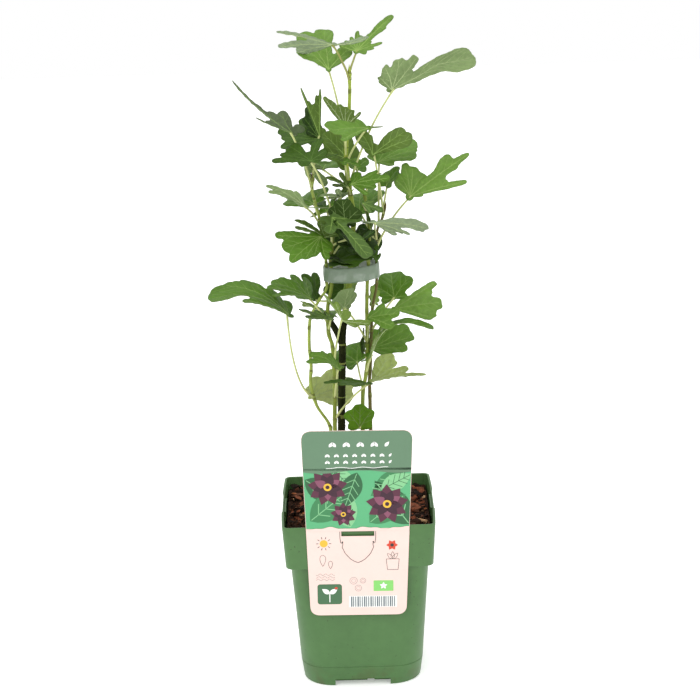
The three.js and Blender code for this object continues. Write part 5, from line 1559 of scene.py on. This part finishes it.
class Sheet:
    """Prints flat shapes on the front of the board, each in the layer asked for"""

    def __init__(self):
        self.form = Form()
        self.edge = board_outline(0.35)

    def shape(self, outline, layer, finish, whole=False):
        """A filled shape, cut to the board's edge unless it is whole"""
        outline = outline if whole else clipped(outline, self.edge)
        if outline is None or len(outline) < 3:
            return
        points, faces = flat_faces([outline])
        self.form.add(card_place(points, CARD["thick"] + layer * LAYER), faces, finish)

    def line(self, points, width, layer, finish, closed=False):
        """A drawn line as a ribbon"""
        points = np.asarray(points, float)
        if closed:
            points = np.vstack([points, points[:1]])
        way = np.gradient(points, axis=0)
        across = np.c_[-way[:, 1], way[:, 0]] / np.maximum(1e-6, np.linalg.norm(way, axis=1))[:, None]
        if closed:
            across[0] = across[-1] = (across[0] + across[-1]) / 2
        sides = np.vstack([points + across * width / 2, points - across * width / 2])
        count = len(points)
        k = np.arange(count - 1)
        quads = np.c_[k, k + count, k + count + 1, k + 1]
        self.form.add(card_place(sides, CARD["thick"] + layer * LAYER), quads, finish)


def disc(centre, radius):
    """A circle in even steps"""
    turn = np.linspace(0, 2 * np.pi, 28, endpoint=False)
    return np.c_[centre[0] + radius * np.cos(turn), centre[1] + radius * np.sin(turn)]


def petal(centre, angle, length, width, count=9):
    """A pointed oval that leaves a centre at an angle"""
    t = np.linspace(0, 1, count)
    half = width / 2 * np.sin(np.pi * t**0.8)
    side = np.r_[np.c_[length * t, half], np.c_[length * t[-2:0:-1], -half[-2:0:-1]]]
    c, s = math.cos(angle), math.sin(angle)
    return np.array(centre) + side @ np.array([[c, s], [-s, c]])


def rounded(x0, x1, y0, y1, r):
    """A rectangle with round corners"""
    out = []
    corners = [(x1 - r, y1 - r, 0), (x0 + r, y1 - r, 90), (x0 + r, y0 + r, 180), (x1 - r, y0 + r, 270)]
    for cx, cy, start in corners:
        for a in np.radians(np.linspace(start, start + 90, 6)):
            out.append((cx + r * math.cos(a), cy + r * math.sin(a)))
    return np.array(out)


def print_leaf(sheet, centre, angle, size, layer, fill, vein):
    """A plain pointed leaf with a midrib and side veins"""
    sheet.shape(petal(centre, angle, size, size * 0.52, count=13), layer, fill)
    way = np.array([math.cos(angle), math.sin(angle)])
    spine = np.array(centre) + np.outer(np.linspace(0.03, 0.93, 8), way * size)
    veins = [spine]
    for t in (0.2, 0.38, 0.56, 0.72):
        for side in (-1, 1):
            turned = angle + side * 0.85
            reach = size * 0.26 * math.sin(math.pi * t**0.8) / math.sin(0.85) * 0.82
            start = np.array(centre) + way * size * t
            steps = np.linspace(0, reach, 4)[:, None]
            veins.append(start + steps * np.array([math.cos(turned), math.sin(turned)]))
    for line in veins:
        if clipped(line, sheet.edge) is not None and np.all(inside_of(line, sheet.edge)):
            sheet.line(line, size * 0.016, layer + 0.5, vein)


def inside_of(points, frame_outline):
    """Which points lie inside a convex frame"""
    out = np.ones(len(points), bool)
    for a, b in zip(frame_outline, np.roll(frame_outline, -1, axis=0)):
        out &= side_of(a, b, points[:, 0], points[:, 1]) >= 0
    return out


def print_rosette(sheet, centre, radius, layer):
    """A plum-coloured flower of two rings of petals"""
    count = 9
    for k in range(count):
        angle = 2 * math.pi * k / count + 0.2
        sheet.shape(petal(centre, angle, radius, radius * 0.62), layer + 0.5 * (k % 2), "print_plum")
    for k in range(count):
        angle = 2 * math.pi * (k + 0.5) / count + 0.2
        finish = "print_plum_light" if k % 3 == 0 else "print_plum_dark"
        sheet.shape(petal(centre, angle, radius * 0.72, radius * 0.44), layer + 1 + 0.5 * (k % 2), finish)
    sheet.shape(disc(centre, radius * 0.2), layer + 2, "print_yellow")
    sheet.shape(disc(centre, radius * 0.1), layer + 2.5, "print_plum_dark")


# Leaves of the picture: centre, heading, length and fill
PRINT_LEAVES = [
    ((-40, 6), 0.7, 46, "print_leaf"), ((44, 2), 2.2, 50, "print_leaf_dark"),
    ((-6, 0), 1.9, 44, "print_leaf_light"), ((10, 4), 0.7, 40, "print_leaf"),
    ((-44, 44), -0.6, 38, "print_leaf_dark"), ((40, 50), -2.5, 36, "print_leaf"),
    ((0, 50), -1.9, 34, "print_leaf_dark"), ((-20, 54), -0.9, 30, "print_leaf_light"),
    ((20, 34), 0.5, 30, "print_leaf_light"), ((-30, 24), 1.2, 34, "print_leaf"),
]
# Flowers of the picture: centre and radius
PRINT_FLOWERS = (((25, 21), 18), ((-25, 37), 17), ((-12, 12), 11))
# Rows of petals in the header: height, length and number
PRINT_ROWS = ((76, 5.2, 9), (66, 3.4, 15), (60, 3.4, 15))
HEADER_FOOT = 52
# Half of a width that is sure to reach over both edges of the board
OVER = 46


def print_picture(sheet):
    """The upper part: a header over a leafy picture with plum-coloured flowers"""
    edge = sheet.edge
    turn = CARD["slot"][1] - POT["height"] + 2.6
    sheet.shape(above(edge, turn), 1, "print_mint", whole=True)
    waves = np.linspace(-OVER, OVER, 60)
    torn = np.c_[waves, turn + 0.5 + 0.9 * np.sin(waves / 5) + 0.5 * np.sin(waves / 2.1)]
    sheet.shape(np.vstack([torn, [(OVER, turn - 2), (-OVER, turn - 2)]])[::-1], 9, "card_cream")
    for centre, angle, size, fill in PRINT_LEAVES:
        vein = "print_leaf_dark" if fill == "print_leaf_light" else "print_leaf_light"
        print_leaf(sheet, centre, angle, size, 2 + 0.3 * (size % 7), fill, vein)
    for centre, radius in PRINT_FLOWERS:
        print_rosette(sheet, centre, radius, 5)
    sheet.shape(above(edge, HEADER_FOOT), 8.5, "print_header", whole=True)
    wave = HEADER_FOOT - 1.5 * np.sin(np.linspace(0, 9, 40)) - 1
    hem = np.c_[np.r_[-OVER:OVER:40j, OVER, -OVER], np.r_[wave, HEADER_FOOT + 2, HEADER_FOOT + 2]]
    sheet.shape(clipped(hem[::-1], edge), 8.5, "print_header", whole=True)
    for level, size, count in PRINT_ROWS:
        for k in range(count):
            root = ((k - (count - 1) / 2) * size * 1.12, level - size / 2)
            angle = math.pi / 2 + (0.7 if k % 2 else -0.7)
            sheet.shape(petal(root, angle, size * 1.1, size * 0.55), 10, "print_white")
    across = np.linspace(-26, 26, 40)
    sheet.line(np.c_[across, HEADER_FOOT + 2.6 + 0.5 * np.sin(across / 3)], 0.5, 10, "print_white")


# Places of the small drawings on the cream part, across and up from the pot's rim
ICONS = {
    "sun": (-29, -15), "bloom": (29, -17), "drops": ((-30, -31, 5.2), (-23.5, -35, 3.6)),
    "waves": (-36, -20, -44), "pot": [(24, -30), (35, -30), (34, -40), (25, -40)], "sprigs": (29.5, -30),
    "badge": (-35, -14, -72, -53), "seedling": (-24.5, -62), "berry": (-19, -57),
    "strip": (-8, 33, -75, -64.5), "stripes": (-6.5, -74.6, -65), "plate": (13, 30, -60, -50),
    "star": (21.5, -55), "rings": ((-4, -50, 3.2), (4, -50, 2.4), (0, -57, 2.8)),
}


def print_sun_and_bloom(sheet):
    """A sun with ten rays and a red flower"""
    sun = np.array(ICONS["sun"])
    sheet.shape(disc(sun, 3.4), 1, "print_yellow")
    for k in range(10):
        angle = 2 * math.pi * k / 10
        ray = [sun + r * np.array([math.cos(angle), math.sin(angle)]) for r in (4.4, 5.4, 6.4)]
        sheet.line(ray, 0.55, 1, "print_ink")
    for k in range(6):
        sheet.shape(petal(ICONS["bloom"], math.pi / 3 * k, 5, 3.4), 1 + 0.3 * (k % 2), "print_red")
    sheet.shape(disc(ICONS["bloom"], 1.5), 2, "print_ink")


def print_drawings(sheet):
    """Drawn in thin lines: two drops, three waves and a small plant in a pot"""
    for x, y, size in ICONS["drops"]:
        t = np.linspace(0, 2 * np.pi, 26, endpoint=False)
        drop = np.c_[x + size * 0.62 * np.sin(t) * np.sin(t / 2), y - size * np.cos(t)]
        sheet.line(drop, 0.35, 1, "print_ink", closed=True)
    start, end, top = ICONS["waves"]
    for k in range(3):
        wave = np.linspace(start, end, 24)
        sheet.line(np.c_[wave, top - 2.4 * k + 0.8 * np.sin(wave * 1.3 + k)], 0.35, 1, "print_grey")
    pot = ICONS["pot"]
    sheet.line(fine_line(pot + pot[:1], 5), 0.4, 1, "print_ink")
    for angle in (0.9, 1.57, 2.3):
        sheet.line(petal(ICONS["sprigs"], angle, 7, 3), 0.35, 1, "print_ink", closed=True)


def print_plates(sheet):
    """A badge with a seedling, a strip of stripes, a lime plate with a star, and three round fruit"""
    sheet.shape(rounded(*ICONS["badge"], 2.4), 1, "print_badge")
    x, y = ICONS["seedling"]
    sheet.line(np.c_[np.full(6, x), np.linspace(y - 8, y + 1, 6)], 0.8, 2, "print_white")
    for angle in (0.6, 2.54):
        sheet.shape(petal((x, y), angle, 8, 4.4), 2, "print_white")
    sheet.shape(disc(ICONS["berry"], 1.3), 2, "print_red")
    sheet.shape(rounded(*ICONS["strip"], 0.3), 1, "print_white")
    first, low, high = ICONS["stripes"]
    for k in range(21):
        left = first + 1.85 * k
        right = left + (0.9 if k % 3 else 1.3)
        sheet.shape(np.array([(left, low), (right, low), (right, high), (left, high)]), 2, "print_stripe")
    sheet.shape(rounded(*ICONS["plate"], 0.6), 1, "print_lime")
    for k in range(5):
        sheet.shape(petal(ICONS["star"], 2 * math.pi * k / 5 + 0.3, 3.4, 1.9), 2, "print_white")
    for x, y, radius in ICONS["rings"]:
        sheet.line(disc((x, y), radius), 0.35, 1, "print_grey", closed=True)
        sheet.line(disc((x, y), radius * 0.55), 0.25, 1, "print_grey", closed=True)


def fine_line(corners, steps):
    """Points along straight stretches between corners, each stretch with both its ends"""
    ends = zip(np.array(corners, float), np.array(corners[1:], float))
    return np.vstack([lerp(a, b, np.linspace(0, 1, steps)[:, None]) for a, b in ends])


def print_tongue(sheet):
    """Painted shadow of the tongue's cut: a dark line down from the slot's ends, in to the neck and to a
    blunt point
    """
    top = CARD["slot"][0] - POT["height"]
    half = CARD["slot_width"] / 2
    side = [(half + 1.2, top + 4.4), (half + 1.2, top - 1), (half + 0.6, top - 6), (half - 1.2, top - 6.6)]
    side += [(half - 1.2, top - 8), (half - 0.6, top - 10), (half - 3.2, top - 16), (half - 7.5, top - 21)]
    side += [(half - 11, top - 23.4), (0, top - 24.6)]
    fine = np.vstack([lerp(np.array(a), np.array(b), np.linspace(0, 1, 5)[:-1, None])
                      for a, b in zip(side, side[1:])] + [side[-1]])
    # Line and dots in the ink colour are painted shadow of the cut, not print
    for turned in (1, -1):
        sheet.line(fine * (turned, 1), 0.5, 2, "print_ink")
        sheet.shape(disc((turned * (half - 0.9), top - 5.4), 0.7), 3, "print_ink")


def make_card():
    """The board with its slot and hook, the print on its front and the painted shadow of the tongue's cut
    """
    make_board()
    make_hook()
    sheet = Sheet()
    print_picture(sheet)
    print_sun_and_bloom(sheet)
    print_drawings(sheet)
    print_plates(sheet)
    print_tongue(sheet)
    sheet.form.piece("CARD_PRINT", ["plant_card"], "card", smooth=False)


def make_board():
    """The flat board with its slot"""
    board = Form()
    outlines = [board_outline(), slot_outline()]
    points, faces = flat_faces(outlines)
    thick = CARD["thick"]
    board.add(card_place(points, thick), faces, "card_cream")
    board.add(card_place(points, 0), faces[:, ::-1], "card_cream")
    for outline, turned in zip(outlines, (False, True)):
        count = len(outline)
        k = np.arange(count)
        walls = np.c_[k, k + count, (k + 1) % count + count, (k + 1) % count]
        both = np.vstack([card_place(outline, thick), card_place(outline, 0)])
        board.add(both, walls[:, ::-1] if turned else walls, "card_cream")
    board.piece("CARD_BOARD", ["plant_card"], "card", smooth=False)


def make_hook():
    """The strap behind the board that runs over the rim and down inside the wall"""
    thick = CARD["thick"]
    front = -POT["collar_half"][1] - CLEAR - 0.3
    back = -POT["collar_half"][1] + POT["wall"] + CLEAR + 0.1
    level = POT["height"] + CLEAR
    half = CARD["hook_width"] / 2
    drop = back + CARD["hook_depth"] * math.sin(COLLAR_LEAN)
    bottom = level - CARD["hook_depth"] * math.cos(COLLAR_LEAN)
    profile = [(front - 0.2, level - 0.3), (front, level + 0.35), (front + 0.5, level + thick)]
    profile += [(back, level + thick), (back + 0.5, level + 0.35), (back + 0.6, level - 0.2)]
    profile += [(drop + 0.6, bottom), (drop, bottom), (back, level), (front + 0.6, level)]
    count = len(profile)
    ends = [tuple(range(count)), tuple(range(2 * count - 1, count - 1, -1))]
    walls = [(k, k + count, (k + 1) % count + count, (k + 1) % count) for k in range(count)]
    hook = solid([(x, y, z) for x in (-half, half) for y, z in profile], ends + walls)
    hook.name = hook.data.name = "CARD_HOOK"
    hook.data.materials.append(material("card_cream"))
    settle(hook, ["plant_card"])


# Band round the shoots


def make_band():
    """A thin film wound round the shoots, slightly waved, with an overlapped end at the back"""
    form = Form()
    count, rows = BAND["around"], BAND["rows"]
    half, tilt = BAND["height"] / 2, math.radians(BAND["tilt"])
    turn = np.linspace(0, 2 * np.pi, count, endpoint=False)
    for grow, turned in ((0, False), (-BAND["thick"] + 0.1, True)):
        rings = []
        for t in np.linspace(-1, 1, rows):
            waved = 0.15 * np.sin(9 * turn + 2 * t) + 0.12 * np.sin(17 * turn - 3 * t)
            lap = BAND["overlap"] * np.exp(-((turn - 1.9) / 0.35) ** 8) if not turned else 0
            r = grow + waved - 0.35 * abs(t) ** 6 + lap
            x, y = (BAND["half_wide"] + r) * np.cos(turn), (BAND["half_deep"] + r) * np.sin(turn)
            z = half * t + 0.25 * np.sin(3 * turn + 0.5) * t
            across = x * math.cos(tilt) - z * math.sin(tilt)
            up = x * math.sin(tilt) + z * math.cos(tilt) + BAND["at"]
            rings.append(np.c_[across, y, up])
        faces = band_faces(rows, count)
        form.add(np.vstack(rings), faces[:, ::-1] if turned else faces, "band_film")
    k = np.arange(count)
    after = (k + 1) % count
    total, last = rows * count, (rows - 1) * count
    low = np.c_[after, k, k + total, after + total]
    high = np.c_[k + last, after + last, after + last + total, k + last + total]
    form.add_faces(np.vstack([low, high]), "band_film", 2 * total)
    form.piece("BAND", ["band"], "band_plastic")


# Floor, light and camera

# The camera's place in millimetres, its angles in degrees, its focal length on a film of that width, and
# how far it sees in metres
CAMERA = {
    "at": (-3.1, -1714.0, 790.0), "pitch": 16.27, "roll": -1.65,
    "focal": 107.02286, "film": 36, "reach": 20,
}
# Lights in metres and watts: place, size and power, all aimed at the plant
LIGHTS = {
    "KEY": ((-1.1, -1.5, 2.0), 1.2, 15),
    "FILL": ((1.6, -1.3, 1.1), 1.2, 3),
    "TOP": ((0.2, 0.3, 2.2), 1.0, 8),
}
LIGHTS_AIM = (0, 0, 0.3)
FLOOR_HALF = 3.5
FLOOR_DROP = 0.0002


def make_floor():
    """A pale floor under the pot"""
    mesh = bpy.data.meshes.new("FLOOR")
    signs = ((-1, -1), (1, -1), (1, 1), (-1, 1))
    corners = [(x * FLOOR_HALF, y * FLOOR_HALF, -FLOOR_DROP) for x, y in signs]
    mesh.from_pydata(corners, [], [(0, 1, 2, 3)])
    floor = bpy.data.objects.new("FLOOR", mesh)
    bpy.context.collection.objects.link(floor)
    mesh.materials.append(material("floor_white"))


def area_light(name, at, size, watts):
    """A square lamp that faces the plant"""
    light = bpy.data.lights.new(name, "AREA")
    light.shape = "SQUARE"
    light.size = size
    light.energy = watts
    made = bpy.data.objects.new(name, light)
    bpy.context.collection.objects.link(made)
    made.location = at
    made.rotation_euler = (Vector(at) - Vector(LIGHTS_AIM)).to_track_quat("Z", "Y").to_euler()


def make_light():
    """Broad soft studio light from above and the front, in a white room"""
    world = bpy.data.worlds.new("white_room")
    world.use_nodes = True
    world.node_tree.nodes["Background"].inputs[0].default_value = (*WHITE, 1)
    world.node_tree.nodes["Background"].inputs[1].default_value = 1.0
    bpy.context.scene.world = world
    for name, (at, size, watts) in LIGHTS.items():
        area_light(name, at, size, watts)


def make_camera():
    """The view from the front and a little above, turned slightly about its own line of sight"""
    camera = bpy.data.cameras.new("CAMERA")
    camera.sensor_width = CAMERA["film"]
    camera.lens = CAMERA["focal"]
    camera.clip_end = CAMERA["reach"]
    made = bpy.data.objects.new("CAMERA", camera)
    bpy.context.collection.objects.link(made)
    pitch, roll = math.radians(CAMERA["pitch"]), math.radians(CAMERA["roll"])
    ahead = Vector((0, math.cos(pitch), -math.sin(pitch)))
    up, right = Vector((0, math.sin(pitch), math.cos(pitch))), Vector((1, 0, 0))
    turned_right = math.cos(roll) * right + math.sin(roll) * up
    turned_up = math.cos(roll) * up - math.sin(roll) * right
    turned = Matrix((turned_right, turned_up, -ahead)).transposed()
    made.matrix_world = Matrix.Translation(Vector(CAMERA["at"]) * MM) @ turned.to_4x4()
    bpy.context.scene.camera = made
    bpy.context.scene.view_settings.view_transform = "Standard"


make_plant()
make_pot()
make_soil()
make_card()
make_band()
make_floor()
make_light()
make_camera()
